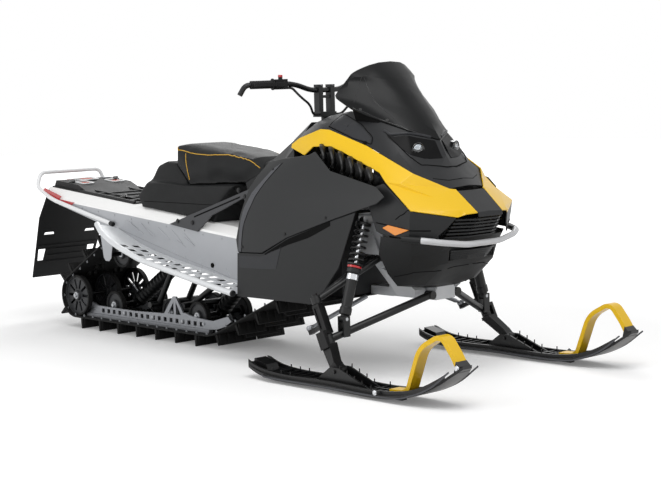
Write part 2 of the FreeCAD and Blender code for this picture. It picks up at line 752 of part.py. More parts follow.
# Rear bumper: one tube from side to side, round the back of the deck
def rear_bumper_points():
    half = size("tunnel_half_width") + size("bumper_tube_radius") + size("bumper_gap")
    right = [Vector(-832, -half, 529), Vector(-1060, -half, 574), Vector(-1325, -half - 6, 632),
             Vector(-1482, -205, 688), Vector(-1486, -180, 756)]
    left = [Vector(p.x, -p.y, p.z) for p in reversed(right)]
    return right + left


node("rear_bumper", tube("rear_bumper", rear_bumper_points(), "Sizes.bumper_tube_radius", 0.4))


# Cargo deck
def deck_shape():
    """A moulded deck on the tunnel: a sloping plate, side ridges, cross ribs, handle hole and anchors."""
    rear, front = size("deck_rear_x"), size("deck_front_x")
    half = size("deck_half_width")
    wall = size("deck_wall")
    lift = 0.3

    def on_top(x, height):
        return tunnel_top(x) + lift + height

    def slab(x1, x2, y1, y2, low, high):
        ring = [Vector(x1, y1, on_top(x1, low)), Vector(x2, y1, on_top(x2, low)),
                Vector(x2, y1, on_top(x2, high)), Vector(x1, y1, on_top(x1, high))]
        return flat_face(ring).extrude(Vector(0, y2 - y1, 0))

    deck = slab(rear, front, -half, half, 0, wall)
    block = [(rear, wall - 1), (rear + 290, wall - 1), (rear + 200, 34), (rear + 14, 34)]
    ring = [Vector(x, -half + 12, on_top(x, height)) for x, height in block]
    extras = [flat_face(ring).extrude(Vector(0, 2 * half - 24, 0))]
    for side in (-1, 1):
        for y in (half - 8, half - 70):
            extras.append(slab(rear + 215, front, side * y - 7, side * y + 7, wall - 1, wall + size("deck_rib")))
    for index in range(4):
        x = rear + 340 + index * 85
        extras.append(slab(x, x + 22, -half + 20, half - 20, wall - 1, wall + size("deck_rib") * 0.7))
    deck = deck.fuse(extras).removeSplitter()
    handle = Part.makeCylinder(28, 200, Vector(rear + 90, 0, 600))
    return deck.cut([handle] + anchor_holes(size("anchor_radius")))


node("cargo_deck", stored("cargo_deck", deck_shape()))

# Snow flap
FLAP_TOP = Vector(-1425.9, 0, 687.5)
FLAP_BOTTOM = Vector(-1608, 0, 219)


def flap_shape():
    """The flap hangs from the tunnel's rear end: a tapered sheet with slots and windows."""
    drop = (FLAP_BOTTOM - FLAP_TOP).Length
    outline = [(-170, 0), (170, 0), (200, 170), (176, drop), (-176, drop), (-200, 170)]
    windows = [[(-150, 252), (-98, 252), (-92, 266), (-156, 266)], [(98, 252), (150, 252), (156, 266), (92, 266)],
               [(-172, 345), (-128, 345), (-132, 410), (-166, 410)], [(128, 345), (172, 345), (166, 410), (132, 410)]]
    wall = size("flap_wall")
    rings = [Part.makePolygon([Vector(a, b, 0) for a, b in ring + ring[:1]]) for ring in [outline] + windows]
    shape = ring_face(rings).extrude(Vector(0, 0, wall))
    ribs = [Part.makeBox(240, 8, 5, Vector(-120, 345 + 34 * index, wall - 0.5)) for index in range(3)]
    shape = shape.fuse(ribs + [Part.makeBox(360, 10, 5, Vector(-180, 322, wall - 0.5))])
    down = (FLAP_BOTTOM - FLAP_TOP).normalize()
    shape.Placement = Placement(FLAP_TOP, Rotation(Vector(0, -1, 0), down, down.cross(Vector(0, -1, 0)) * -1, "ZXY"))
    return shape


node("snow_flap", stored("snow_flap", flap_shape()))


# Tail lamp at the rear end of the tunnel and the red wedges on its sides
def tail_lamps():
    rear = size("tunnel_rear_x")
    half = size("tunnel_half_width")
    deck_rear = size("deck_rear_x")
    lamp = box_between(Vector(deck_rear - size("tail_lamp_depth"), -70, size("tunnel_rear_top") + 0.3),
                       Vector(deck_rear - 0.3, 70, size("tunnel_rear_top") + 30))
    pieces = [stored("tail_lamp", lamp)]
    for side in (-1, 1):
        face = side * (half + 0.3)
        ring = [Vector(rear + 84, face, 638), Vector(-1150, face, 619), Vector(-1178, face, 605),
                Vector(rear + 150, face, 618)]
        pieces.append(stored("wedge", flat_face(ring).extrude(Vector(0, side * 2.4, 0))))
    return pieces


node("tail_lamps", group("tail_lamps", tail_lamps()))


# Seat
def seat_block(name, outline, half, round_name):
    """A padded block: side outline padded to the seat's width, long upper edges rounded."""
    body = plate(name, "XZ_Plane", outline, f"Sizes.{half} * 2", Vector(0, 0, 0))
    doc.recompute()
    pad = body.Tip
    edges = []
    for index, edge in enumerate(pad.Shape.Edges, start=1):
        ends = [vertex.Point for vertex in edge.Vertexes]
        level = abs(ends[0].y - ends[1].y) < 1 and abs(abs(ends[0].y) - size(half)) < 1
        high = min(ends[0].z, ends[1].z) > min(z for x, z in outline) + 60
        if level and high:
            edges.append(f"Edge{index}")
    smooth = body.newObject("PartDesign::Fillet", name + "_round")
    smooth.Base = (pad, edges)
    smooth.setExpression("Radius", f"Sizes.{round_name}")
    body.Tip = smooth
    return body


def above_tunnel(x, gap=0.5):
    return tunnel_top(x) + gap


cushion_outline = [(-330, 724), (20, 740), (120, 792), (60, 846), (-70, 872), (-330, 900), (-440, 904),
                   (-476, 868)]
cushion_block = seat_block("cushion_block", cushion_outline, "seat_half_width", "seat_edge_radius")
CUSHION_PLAN = [(-478, -70), (-460, -132), (-420, -166), (-200, -166), (40, -124), (125, -102)]
cushion_plan = plate("cushion_plan", "XY_Plane", CUSHION_PLAN + [(x, -y) for x, y in reversed(CUSHION_PLAN)],
                     "Sizes.cushion_plan_height", Vector(0, 0, 820))
cushion = doc.addObject("Part::Common", "seat_cushion")
cushion.Base = cushion_block
cushion.Tool = cushion_plan
node("seat_cushion", cushion)

base_outline = [(-650, above_tunnel(-650)), (-120, above_tunnel(-120)), (-90, 640), (10, 736), (-330, 723.5),
                (-618, 737), (-688, 672)]
hump_outline = [(-640, 722), (-337, 722), (-432.5, 822), (-505, 826), (-560, 808)]
base = seat_block("base_block", base_outline, "seat_base_half_width", "base_edge_radius")
hump = seat_block("seat_hump", hump_outline, "hump_half_width", "base_edge_radius")
node("seat_base", joined("seat_base", base, hump))


RISER_BOTTOM = size("bar_height") - size("riser_height")
POST_BOTTOM = RISER_BOTTOM - size("post_length")

# Console between seat and hood, round the steering post
def console_shape():
    """A lofted cover from the seat to the hood, with the steering post's opening and bearing."""
    def ring(x, low, low_half, high, high_half, crown):
        points = [Vector(x, -low_half, low), Vector(x, -high_half, high), Vector(x, -high_half * 0.55, crown),
                  Vector(x, high_half * 0.55, crown), Vector(x, high_half, high), Vector(x, low_half, low)]
        return Part.makePolygon(points + points[:1])

    stations = [ring(22, 742, 130, 784, 112, 806), ring(140, 620, 190, 776, 118, 844),
                ring(290, 560, 206, 822, 162, 922), ring(448, 540, 208, 900, 232, 1003)]
    shape = Part.makeLoft(stations, True, True)
    seat = flat_face([Vector(x, -300, z) for x, z in [(-119.4, 560), (-89.6, 639.6), (10.3, 735.7), (20.3, 739.5),
                                                      (120.6, 791.9), (60.3, 846.4), (-120, 860)]])
    shape = shape.cut(seat.extrude(Vector(0, 600, 0)))
    post = size("post_radius") + size("post_clearance")
    bore = Part.makeCylinder(post, 400, Vector(size("steer_x"), 0, POST_BOTTOM - 6))
    boot = Part.makeCylinder(size("boot_radius"), 200, Vector(size("steer_x"), 0, RISER_BOTTOM - 66))
    return shape.cut([bore, boot])


node("console", stored("console", console_shape()))


# Frame struts from the tunnel sides up to the panels
strut_outline = [(-404, 549), (-206, 524), (-105, 600), (-30, 628), (112, 684), (150, 640), (176, 560), (236, 552),
                 (240, 700), (330, 790), (300, 812), (250, 778), (150, 722)]
strut_windows = [[(-285, 588), (-262, 582), (110, 689), (88, 695)]]
strut = plate("frame_strut", "XZ_Plane", strut_outline, "Sizes.strut_wall",
              Vector(0, -size("strut_offset") - size("strut_wall") / 2, 0), strut_windows,
              [(-340, 565, 6), (-236, 563, 8)])
both_sides("frame_struts", strut)

# Upper and lower side panels
SIDE_CORNERS = {
    "a": (376, -300, 850), "b": (479, -310, 864), "c": (616, -310, 878), "d": (658, -312, 893),
    "e": (761, -330, 819), "f": (1012, -330, 763), "g": (1054, -330, 726), "k": (1025, -345, 699),
    "m": (811, -385, 630), "n": (572, -397, 552), "p": (423, -402, 482), "q": (267, -397, 476),
    "r": (257, -396, 526), "s": (281, -390, 630), "t": (313, -370, 733), "u": (344, -340, 794),
    "v": (390, -404, 560), "w": (420, -396, 690), "x": (600, -386, 700), "y": (800, -366, 730),
    "z": (520, -345, 810),
}
SIDE_FACETS = ("u a b z", "b c z", "c d e z", "t u z w", "s t w", "s w v", "r s v", "q r v p", "p v n",
               "v w x n", "w z x", "z e y x", "x y m n", "e f y", "f g k y", "y k m")
side_points, side_triangles = fans(SIDE_CORNERS, SIDE_FACETS)
side_panel = stored("side_panel", panel_shape(side_points, side_triangles, size("panel_wall"),
                                              Vector(600, 0, 650)))
both_sides("side_panels", side_panel)

LOWER_CORNERS = {
    "a": (262, -395.5, 472.5), "b": (424, -398.5, 478.5), "c": (572, -393.8, 551), "d": (814, -381, 629),
    "e": (930, -363.5, 664.5), "f": (906, -368, 600), "g": (846, -378, 446), "i": (714, -384, 290),
    "j": (246, -390, 290), "k": (560, -394, 400),
}
LOWER_FACETS = ("a b k j", "b c k", "c d k", "d e f", "d f g", "d g k", "k g i", "k i j")
low_points, low_triangles = fans(LOWER_CORNERS, LOWER_FACETS)
lower_panel = stored("lower_panel", panel_shape(low_points, low_triangles, size("panel_wall"),
                                                Vector(600, 0, 450)))
both_sides("lower_panels", lower_panel)

# Belly pan floor with the track's opening
FLOOR_HALF = 384.5
FLOOR_TOP = size("floor_z") + size("floor_wall") + 1
TRACK_SLOT = size("tunnel_half_width") - size("tunnel_wall") - 4
floor_front = size("drive_x") + size("drive_radius") + SLIDE_Z + 12
floor_outline = [(250, -FLOOR_HALF), (700, -FLOOR_HALF + 6), (700, FLOOR_HALF - 6), (250, FLOOR_HALF),
                 (250, TRACK_SLOT), (floor_front, TRACK_SLOT), (floor_front, -TRACK_SLOT), (250, -TRACK_SLOT)]
belly_floor = plate("belly_floor", "XY_Plane", floor_outline, "Sizes.floor_wall",
                    Vector(0, 0, FLOOR_TOP - size("floor_wall") / 2))

engine = doc.addObject("Part::Box", "engine")
engine.setExpression("Length", "Sizes.engine_length")
engine.setExpression("Width", "Sizes.engine_width")
engine.setExpression("Height", "Sizes.engine_height")
engine.setExpression(".Placement.Base.x", "Sizes.engine_x")
engine.setExpression(".Placement.Base.y", "-Sizes.engine_width / 2")
engine.setExpression(".Placement.Base.z", "Sizes.engine_z")
node("engine", engine)

# Hood: black centre between the yellow stripes
HOOD_ROWS = [
    [(448.3, 0, 1001), (448.3, -100, 1001), (448.8, -170, 963), (450, -230, 906)],
    [(540, 0, 1040), (548, -110, 1030), (535, -185, 995), (515, -238, 948)],
    [(690, 0, 1060), (706, -150, 1048), (672, -205, 1008), (640, -236, 976)],
    [(850, 0, 1010), (880, -158, 1004), (875, -200, 960), (866, -224, 914)],
    [(1046, 0, 926), (972, -108, 968), (990, -180, 890), (990, -206, 852)],
    [(1078, 0, 870), (1060, -100, 858), (1066, -170, 822), (1076, -194, 808)],
    [(1110, 0, 824), (1112, -86, 806), (1120, -130, 788), (1128, -147, 773)],
    [(1196, 0, 756), (1186, -70, 750), (1182, -84, 748), (1178, -94, 746)],
]
hood_points, hood_triangles = grid(across_middle(HOOD_ROWS))
hood_shell = panel_shape(hood_points, hood_triangles, size("panel_wall"), Vector(800, 0, 500))


def lamp_body(side, radius):
    """The headlight's barrel, aimed forwards and a little outwards."""
    centre = Vector(1006, side * 104, 896)
    aim = Vector(1, side * 0.25, -0.1).normalize()
    return Part.makeCylinder(radius, 62, centre - aim * 40, aim)


lamp_hole = size("lamp_radius") + size("lamp_gap")
hood_shell = hood_shell.cut([lamp_body(-1, lamp_hole), lamp_body(1, lamp_hole)])
node("hood", stored("hood", hood_shell))

# Yellow stripes along both sides of the hood
STRIPE_CORNERS = {
    "a": (458, -250, 918), "b": (499, -245, 943), "c": (622, -242, 980), "d": (670, -239, 977),
    "e": (869, -230, 914), "f": (1084, -200, 809), "g": (1182, -100, 747), "h": (1196, -80, 744),
    "i": (1299, -72, 658), "j": (462, -258, 904), "k": (567, -285, 876), "m": (612, -277, 911),
    "n": (704, -272, 913), "o": (770, -268, 891), "p": (968, -265, 813), "q": (1009, -275, 777),
    "r": (1162, -300, 675), "s": (1263, -147, 643), "t": (1284, -122, 654),
    "u": (1063, -250, 772), "v": (1171, -200, 725), "w": (1268, -125, 668),
}
STRIPE_FACETS = ("a b k j", "b c m k", "c d n m", "d e o n", "e f u p o", "p u q", "u f g v", "v g h i w",
                 "w i t", "q u v r", "r v w s", "s w t")
stripe_points, stripe_triangles = fans(STRIPE_CORNERS, STRIPE_FACETS)
stripe = stored("hood_stripe", panel_shape(stripe_points, stripe_triangles, size("panel_wall"),
                                           Vector(850, 0, 500)))
both_sides("hood_stripes", stripe)

# Nose panel between the stripes' front ends
STRIPE_INNER = STRIPE_CORNERS["h"]
STRIPE_FRONT = STRIPE_CORNERS["i"]
NOSE_ROWS = [
    [(STRIPE_INNER[0] + 8, 0, STRIPE_INNER[2] - 6), (STRIPE_INNER[0] + 7, STRIPE_INNER[1] + 2, STRIPE_INNER[2] - 6)],
    [(STRIPE_FRONT[0] - 1, 0, STRIPE_FRONT[2] + 2), (STRIPE_FRONT[0] + 1, STRIPE_FRONT[1] + 2, STRIPE_FRONT[2] - 1)],
    [(STRIPE_FRONT[0] + 5, 0, STRIPE_FRONT[2] - 18),
     (STRIPE_FRONT[0] + 3, STRIPE_FRONT[1] + 2, STRIPE_FRONT[2] - 18)],
]
nose_points, nose_triangles = grid(across_middle(NOSE_ROWS))
node("nose_panel", stored("nose_panel", panel_shape(nose_points, nose_triangles, size("panel_wall"),
                                                    Vector(1000, 0, 500))))

# Cowl below the stripes, down to the bumper
COWL_ROWS = [
    [(930, -322, 745), (955, -318, 690), (985, -308, 590)],
    [(1002, -280, 773), (1020, -300, 690), (1010, -302, 578)],
    [(1160, -299.5, 671.5), (1156, -299, 640), (1146, -290, 566)],
    [(1258, -149, 639.7), (1232, -176, 600), (1200, -215, 558)],
]
cowl_points, cowl_triangles = grid(COWL_ROWS)
cowl = stored("front_cowl", panel_shape(cowl_points, cowl_triangles, size("panel_wall"), Vector(1000, 0, 600)))
both_sides("front_cowls", cowl)


# Grilles: frames with level bars
def grille(outer_top, outer_bottom, count, depth):
    """Level bars between two edge lines that run across the nose, joined by three uprights."""
    pieces = []
    bar = size("grille_bar")
    for index in range(count):
        part = index / (count - 1)
        row = [top + (bottom - top) * part for top, bottom in zip(outer_top, outer_bottom)]
        ring = row + [point - Vector(depth, 0, 0) for point in reversed(row)]
        pieces.append(flat_face(ring).extrude(Vector(0, 0, bar)))
    for top, bottom in zip(outer_top, outer_bottom):
        back = Vector(depth * 0.5, 0, 0)
        width = Vector(0, 10 if top.y <= 0 else -10, 0)
        if abs(top.y) < 1:
            width = Vector(0, 10, 0)
        ring = [top - back, top - back * 2, bottom - back * 2, bottom - back]
        ring = [point - width * 0.5 for point in ring]
        pieces.append(flat_face(ring).extrude(width))
    return pieces[0].fuse(pieces[1:])


def level_row(x_middle, x_side, half, z):
    return [Vector(x_side, -half, z), Vector(x_middle, -half * 0.45, z), Vector(x_middle, half * 0.45, z),
            Vector(x_side, half, z)]


upper_grille = grille(level_row(1290, 1240, 136, 626), level_row(1238, 1196, 150, 557.4), 6, 30)
lower_grille = grille(level_row(1240, 1206, 126, 504), level_row(1222, 1188, 112, 472), 5, 20)
node("grilles", group("grilles", [stored("upper_grille", upper_grille), stored("lower_grille", lower_grille)]))

# Belly nose: the skid under the bumper
BELLY_ROWS = [
    [(1216, 0, 556), (1214, -100, 556), (1194, -190, 556), (1136, -274, 560), (1000, -298, 570)],
    [(1206, 0, 520), (1204, -138, 520), (1186, -168, 510), (1110, -246, 494), (985, -296, 500)],
    [(1200, 0, 450), (1196, -132, 462), (1174, -158, 456), (1096, -222, 432), (1000, -262, 420)],
    [(1120, 0, 380), (1112, -100, 376), (1088, -150, 372), (1050, -194, 372), (1010, -222, 370)],
    [(1062, 0, 352), (1062, -60, 352), (1058, -90, 354), (1052, -120, 356), (1046, -140, 358)],
]
belly_points, belly_triangles = grid(across_middle(BELLY_ROWS))
belly_shell = panel_shape(belly_points, belly_triangles, size("panel_wall"), Vector(1000, 0, 520))
grille_window = box_between(Vector(1150, -131.6, 471.7), Vector(1300, 131.6, 511.3))
belly_nose = stored("belly_nose", belly_shell.cut(grille_window))
node("belly_pan", group("belly_pan", [belly_floor, belly_nose]))

# Amber reflectors on the cowl, whose side draws in by COWL_SLOPE along X
COWL_SLOPE = 0.0545
REFLECTOR = [Vector(x, -301.6 + COWL_SLOPE * (x - 1016), z)
             for x, z in ((1016, 604), (1044, 616), (1148, 600), (1080, 577))]
reflector = stored("reflector", flat_face(REFLECTOR).extrude(Vector(0, -4, 0)))
both_sides("side_reflectors", reflector)


# Vent louvres under the stripes
def louvre(x, z, height):
    """A chevron bar of the side vent."""
    wall = size("louvre_wall")
    ring = [(x, z), (x + 26, z + height * 0.5), (x + 8, z + height), (x + 8 + wall, z + height),
            (x + 26 + wall, z + height * 0.5), (x + wall, z)]
    return flat_face([Vector(a, -296, b) for a, b in ring]).extrude(Vector(0, 30, 0))


LOUVRES = ((672, 856, 44), (724, 838, 52), (776, 815, 58), (828, 802, 52), (880, 790, 44), (930, 778, 36))
louvres = [louvre(*place) for place in LOUVRES]
backing = flat_face([Vector(655, -266, 820), Vector(640, -266, 880), Vector(720, -266, 892),
                     Vector(990, -266, 790), Vector(990, -266, 745)]).extrude(Vector(0, 5, 0))
vent = stored("vent", backing.fuse(louvres))
both_sides("vent_louvres", vent)


# Headlights below the windshield
node("headlights", group("headlights", [stored("headlight", lamp_body(side, size("lamp_radius")))
                                        for side in (-1, 1)]))

# Windshield: a bubble with flared sides, from its seat on the hood up to its rim
SHIELD_ROWS = [
    [(1048, 0, 929.3), (1012, -54.5, 950.1), (976, -109, 970.8), (929.5, -134.5, 989.3), (883, -160, 1007.8),
     (825.5, -182, 1029.9), (768, -204, 1052)],
    [(996, 0, 1003), (972, -58, 1014), (928, -108, 1030), (888, -140, 1046), (842, -168, 1062), (788, -200, 1078),
     (728, -234, 1088)],
    [(938, 0, 1072), (918, -60, 1080), (868, -106, 1091), (832, -140, 1100), (796, -170, 1110), (752, -206, 1116),
     (708, -240, 1112)],
    [(884, 0, 1136), (866, -62, 1142), (824, -108, 1150), (790, -138, 1158), (764, -164, 1163), (736, -192, 1164),
     (714, -208, 1148)],
    [(836, 0, 1192), (824, -62, 1194), (806, -104, 1191), (790, -132, 1187), (770, -156, 1184), (750, -174, 1184),
     (728, -186, 1180)],
    [(786, 0, 1244), (780, -62, 1240), (766, -104, 1230), (754, -130, 1220), (744, -152, 1210), (739, -165, 1203),
     (734, -176, 1195)],
]


def eased_rows(rows):
    """Rows with a further one halfway between neighbours, on the cubic through the rows around it."""
    last = len(rows) - 1
    smooth = [rows[0]]
    for number in range(last):
        before, low, high, after = (rows[min(max(number + step, 0), last)] for step in (-1, 0, 1, 2))
        between = []
        for a, b, c, d in zip(before, low, high, after):
            between.append(tuple((9 * (q + r) - p - s) / 16 for p, q, r, s in zip(a, b, c, d)))
        smooth += [between, high]
    return smooth


shield_points, shield_triangles = grid(across_middle(eased_rows(SHIELD_ROWS)))
node("windshield", stored("windshield", panel_shape(shield_points, shield_triangles, size("shield_wall"),
                                                    Vector(650, 0, 1000))))

# Front bumper bar
FRONT_BAR = [Vector(1128, -315.4, 568), Vector(1205, -269, 560), Vector(1234, -218, 551), Vector(1262, -96, 535)]
bar_points = FRONT_BAR + [Vector(p.x, -p.y, p.z) for p in reversed(FRONT_BAR)]
node("front_bumper", tube("front_bumper", bar_points, "Sizes.bumper_bar_radius", 0.25))


# Bulkhead casting between the arms
ARM_SEAT = 56.7
SHOCK_TOP = Vector(904, -286, 640)
SHOCK_FOOT = Vector(904, -418, 240)


def cheeks(x, low, high):
    """Two plates on both sides of a shock eye, from a low to a high corner in Y and Z."""
    plates = []
    for side in (-1, 1):
        near = x + side * (size("shock_eye_width") / 2 + 0.3)
        far = near + side * size("cheek_wall")
        plates.append(box_between(Vector(min(near, far), *low), Vector(max(near, far), *high)))
    return plates


def bulkhead_shape():
    """A ribbed casting: narrow at the lower arms, wide at the shock tops, with webs beside the arms."""
    rings = []
    for z, rear, front, half in ((300, 806, 1060, ARM_SEAT), (345, 806, 1060, ARM_SEAT), (470, 830, 955, 190),
                                 (650, 845, 930, 262)):
        ring = [Vector(rear, -half, z), Vector(front, -half, z), Vector(front, half, z), Vector(rear, half, z)]
        rings.append(Part.makePolygon(ring + ring[:1]))
    block = Part.makeLoft(rings, True, True)
    pockets = []
    for side in (-1, 1):
        ring = [Vector(700, side * 20, 372), Vector(700, side * 110, 460), Vector(700, side * 20, 460)]
        pockets.append(flat_face(ring).extrude(Vector(500, 0, 0)))
    pockets.append(box_between(Vector(700, -190, 500), Vector(1100, 190, 620)))
    towers = cheeks(SHOCK_TOP.x, (-304, 619), (-250, 646)) + cheeks(SHOCK_TOP.x, (250, 619), (304, 646))
    keel = box_between(Vector(size("engine_x") + size("engine_length") + 4, -40, FLOOR_TOP + 0.3),
                       Vector(size("engine_x") + size("engine_length") + 128, 40, FLOOR_TOP + 37))
    tab = box_between(Vector(1030, -50, 340), Vector(1061.3, 50, 353.2))
    webs = []
    for side in (-1, 1):
        ring = [Vector(x, side * 231, z) for x, z in ((852, 583), (894, 573), (930, 488), (806, 488))]
        webs.append(flat_face(ring).extrude(Vector(0, side * 5, 0)))
        ring = [Vector(x, side * (120 + (z - 327) * 0.8), z) for x, z in
                ((905, 432), (897, 314), (990, 310), (1022, 344), (978, 401))]
        webs.append(flat_face(ring).extrude(Vector(0, -side * 60, 0)))
    return block.cut(pockets).fuse(towers + webs + [keel, tab])


node("bulkhead", stored("bulkhead", bulkhead_shape()))

# Front suspension on the right side, mirrored to the left
CASTER = math.radians(size("caster"))
KING_UP = Vector(-math.sin(CASTER), 0, math.cos(CASTER))
KING_AHEAD = Vector(math.cos(CASTER), 0, math.sin(CASTER))
KING_LOW = Vector(size("kingpin_low_x"), -size("kingpin_y"), size("kingpin_low_z"))
KING_HIGH = KING_LOW + KING_UP * size("kingpin_length")
SKI_BOLT = Vector(size("ski_bolt_x"), -size("ski_spread"), size("ski_bolt_z"))


def eye(centre, height):
    """An arm's eye on the kingpin."""
    bore = size("pin_radius") + size("pin_clearance")
    start = centre - KING_UP * (height / 2)
    ring = Part.makeCylinder(size("eye_radius"), height, start, KING_UP)
    return ring, Part.makeCylinder(bore, height + 2, start - KING_UP, KING_UP)


def lower_arm():
    """Two tubes from the lower eye to the bulkhead, with the shock's bracket."""
    ring, bore = eye(KING_LOW, size("low_eye_height"))
    radius = size("lower_tube_radius")
    middle = -(ARM_SEAT + radius + 2.3)
    front = Vector(1046, middle, 322)
    rear = Vector(828, middle, 322)
    joint = KING_LOW + (front - KING_LOW) * 0.16
    solids = [rod(KING_LOW, front, radius), rod(joint, rear, radius),
              rod(front - Vector(18, 0, 0), front + Vector(18, 0, 0), radius + 2),
              rod(rear - Vector(18, 0, 0), rear + Vector(18, 0, 0), radius + 2)]
    seats = cheeks(SHOCK_FOOT.x, (-430, 186), (-396, 266))
    return ring.fuse(solids + seats).cut(bore)


def upper_arm():
    """Two tubes from the upper eye to the bulkhead."""
    ring, bore = eye(KING_HIGH, size("up_eye_height"))
    radius = size("upper_tube_radius")
    front = Vector(906, -206.6, 472.8)
    rear = Vector(850, -206.6, 472.8)
    start = size("eye_radius") - 3
    solids = [rod(KING_HIGH + (front - KING_HIGH).normalize() * start, front, radius),
              rod(KING_HIGH + (rear - KING_HIGH).normalize() * start, rear, radius),
              rod(front - Vector(16, 0, 0), front + Vector(16, 0, 0), radius + 2),
              rod(rear - Vector(16, 0, 0), rear + Vector(16, 0, 0), radius + 2)]
    return ring.fuse(solids).cut(bore)


both_sides("lower_arms", stored("lower_arm", lower_arm()))
both_sides("upper_arms", stored("upper_arm", upper_arm()))

shock = coil_over(SHOCK_TOP, SHOCK_FOOT, size("shock_body_radius"), size("spring_radius"), size("spring_wire"),
                  size("shock_eye_width"))
both_sides("front_shocks", stored("front_shock", shock))


def spindle_shape():
    """The knuckle: fork round the lower eye, column, upper pin, steering arm and foot on the ski bolt."""
    pin = size("pin_radius")
    low_half = size("low_eye_height") / 2 + size("eye_gap")
    fork = size("fork_plate")
    depth, width = size("spindle_depth"), size("spindle_width")
    web = size("eye_radius") + 5
    top = size("kingpin_length") - size("up_eye_height") / 2 - size("eye_gap")
    cap = size("kingpin_length") + size("up_eye_height") / 2 + size("eye_gap")
    solids = [
        Part.makeBox(depth, width + web - 8, fork, Vector(-depth / 2, -web - 14, low_half)),
        Part.makeBox(depth, width + web - 8, fork, Vector(-depth / 2, -web - 14, -low_half - fork)),
        Part.makeBox(depth, 14, 2 * (low_half + fork), Vector(-depth / 2, -web - 14, -low_half - fork)),
        Part.makeBox(depth - 6, width - 4, top - low_half - fork + 1,
                     Vector(-depth / 2 + 3, -width / 2 + 2, low_half + fork - 1)),
        Part.makeCylinder(pin, 2 * low_half + 2, Vector(0, 0, -low_half - 1)),
        Part.makeCylinder(pin, cap - top + 2, Vector(0, 0, top - 1)),
        Part.makeCylinder(pin + 3, 9, Vector(0, 0, cap)),
    ]
    shape = solids[0].fuse(solids[1:])
    grooves = [Part.makeBox(depth - 22, 8, top - low_half - fork - 24,
                            Vector(-depth / 2 + 11, side * (width / 2 - 2) - 4, low_half + fork + 12))
               for side in (-1, 1)]
    shape = shape.cut(grooves)
    shape.Placement = Placement(KING_LOW, Rotation(Vector(0, 1, 0), -size("caster")))
    ball = KING_LOW + KING_UP * 62 - KING_AHEAD * size("steer_arm_length") + Vector(0, 18, 0)
    root = KING_LOW + KING_UP * 62 - KING_AHEAD * (depth / 2 - 6)
    arm = band([root, (root + ball) * 0.5 + Vector(0, 6, 0), ball], Vector(0, 18, 0), 16, 0.3)
    stud = Part.makeCylinder(6, 34, ball - KING_UP * 8, KING_UP)
    boss = Part.makeCylinder(13, 16, ball - KING_UP * 8, KING_UP)
    half = size("barrel_width") / 2
    start = KING_LOW - KING_UP * (low_half + fork / 2)
    foot = Part.makeCylinder(size("barrel_radius"), 2 * half, SKI_BOLT - Vector(0, half, 0), Vector(0, 1, 0))
    leg_top = [start + KING_AHEAD * a + Vector(0, b, 0) for a, b in ((-22, -30), (22, -30), (22, 14), (-22, 14))]
    lean = (start - SKI_BOLT).normalize()
    side = Vector(0, 1, 0)
    ahead = side.cross(lean).normalize()
    leg_low = [SKI_BOLT + ahead * a + side * b for a, b in ((-17, -20), (17, -20), (17, 20), (-17, 20))]
    leg_middle = [corner + Vector(lean.x, 0, lean.z) * 36 for corner in leg_low]
    leg = Part.makeLoft([Part.makePolygon(ring + ring[:1]) for ring in (leg_top, leg_middle, leg_low)], True, True)
    bore = Part.makeCylinder(pin + size("pin_clearance"), 2 * half + 4, SKI_BOLT - Vector(0, half + 2, 0),
                             Vector(0, 1, 0))
    return shape.fuse([arm, stud, boss, foot, leg]).cut(bore)


spindle = node("spindle_right", stored("spindle_right", spindle_shape()))
node("spindle_left", mirrored("spindle_left", spindle))

TIE_BALL = (KING_LOW + KING_UP * (62 + 17) - KING_AHEAD * size("steer_arm_length") + Vector(0, 18, 0))
TIE_INNER = Vector(782, -165, 306)


def tie_rod_shape():
    """A tube with a rod end on the steering arm's stud; its inner end is left free."""
    along = (TIE_INNER - TIE_BALL).normalize()
    head = Part.makeSphere(size("ball_radius") + 4, TIE_BALL)
    shank = rod(TIE_BALL + along * 6, TIE_BALL + along * 60, 7)
    body = rod(TIE_BALL + along * 40, TIE_INNER, size("tie_rod_radius"))
    flat = Part.makeCylinder(40, 60, TIE_BALL + KING_UP * 9, KING_UP)
    under = Part.makeCylinder(40, 60, TIE_BALL - KING_UP * 68.6, KING_UP)
    bore = Part.makeCylinder(6 + size("pin_clearance"), 80, TIE_BALL - KING_UP * 40, KING_UP)
    return head.cut([flat, under]).fuse([shank, body]).cut(bore)


tie_rod = node("tie_rod_right", stored("tie_rod_right", tie_rod_shape()))
node("tie_rod_left", mirrored("tie_rod_left", tie_rod))


# Skis
def ski_curve(rise):
    """The ski's bottom line in side view, raised by rise."""
    keel = size("keel_height")
    line = [(492, 50), (560, 26), (650, keel), (960, keel), (1290, keel), (1400, keel + 20), (1500, keel + 62),
            (1608, 150)]
    spline = Part.BSplineCurve()
    spline.interpolate([Vector(x, 0, z + rise) for x, z in line])
    return spline.toShape()


def strip(low_rise, high_rise, low_y, high_y):
    """A long piece of the ski between two heights above its bottom line."""
    low, high = ski_curve(low_rise), ski_curve(high_rise)
    ends = [Part.makeLine(low.valueAt(p1), high.valueAt(p2))
            for p1, p2 in ((low.FirstParameter, high.FirstParameter), (low.LastParameter, high.LastParameter))]
    face = Part.Face(Part.Wire([low, ends[1], high, ends[0]]))
    face.translate(Vector(0, low_y, 0))
    return face.extrude(Vector(0, high_y - low_y, 0))


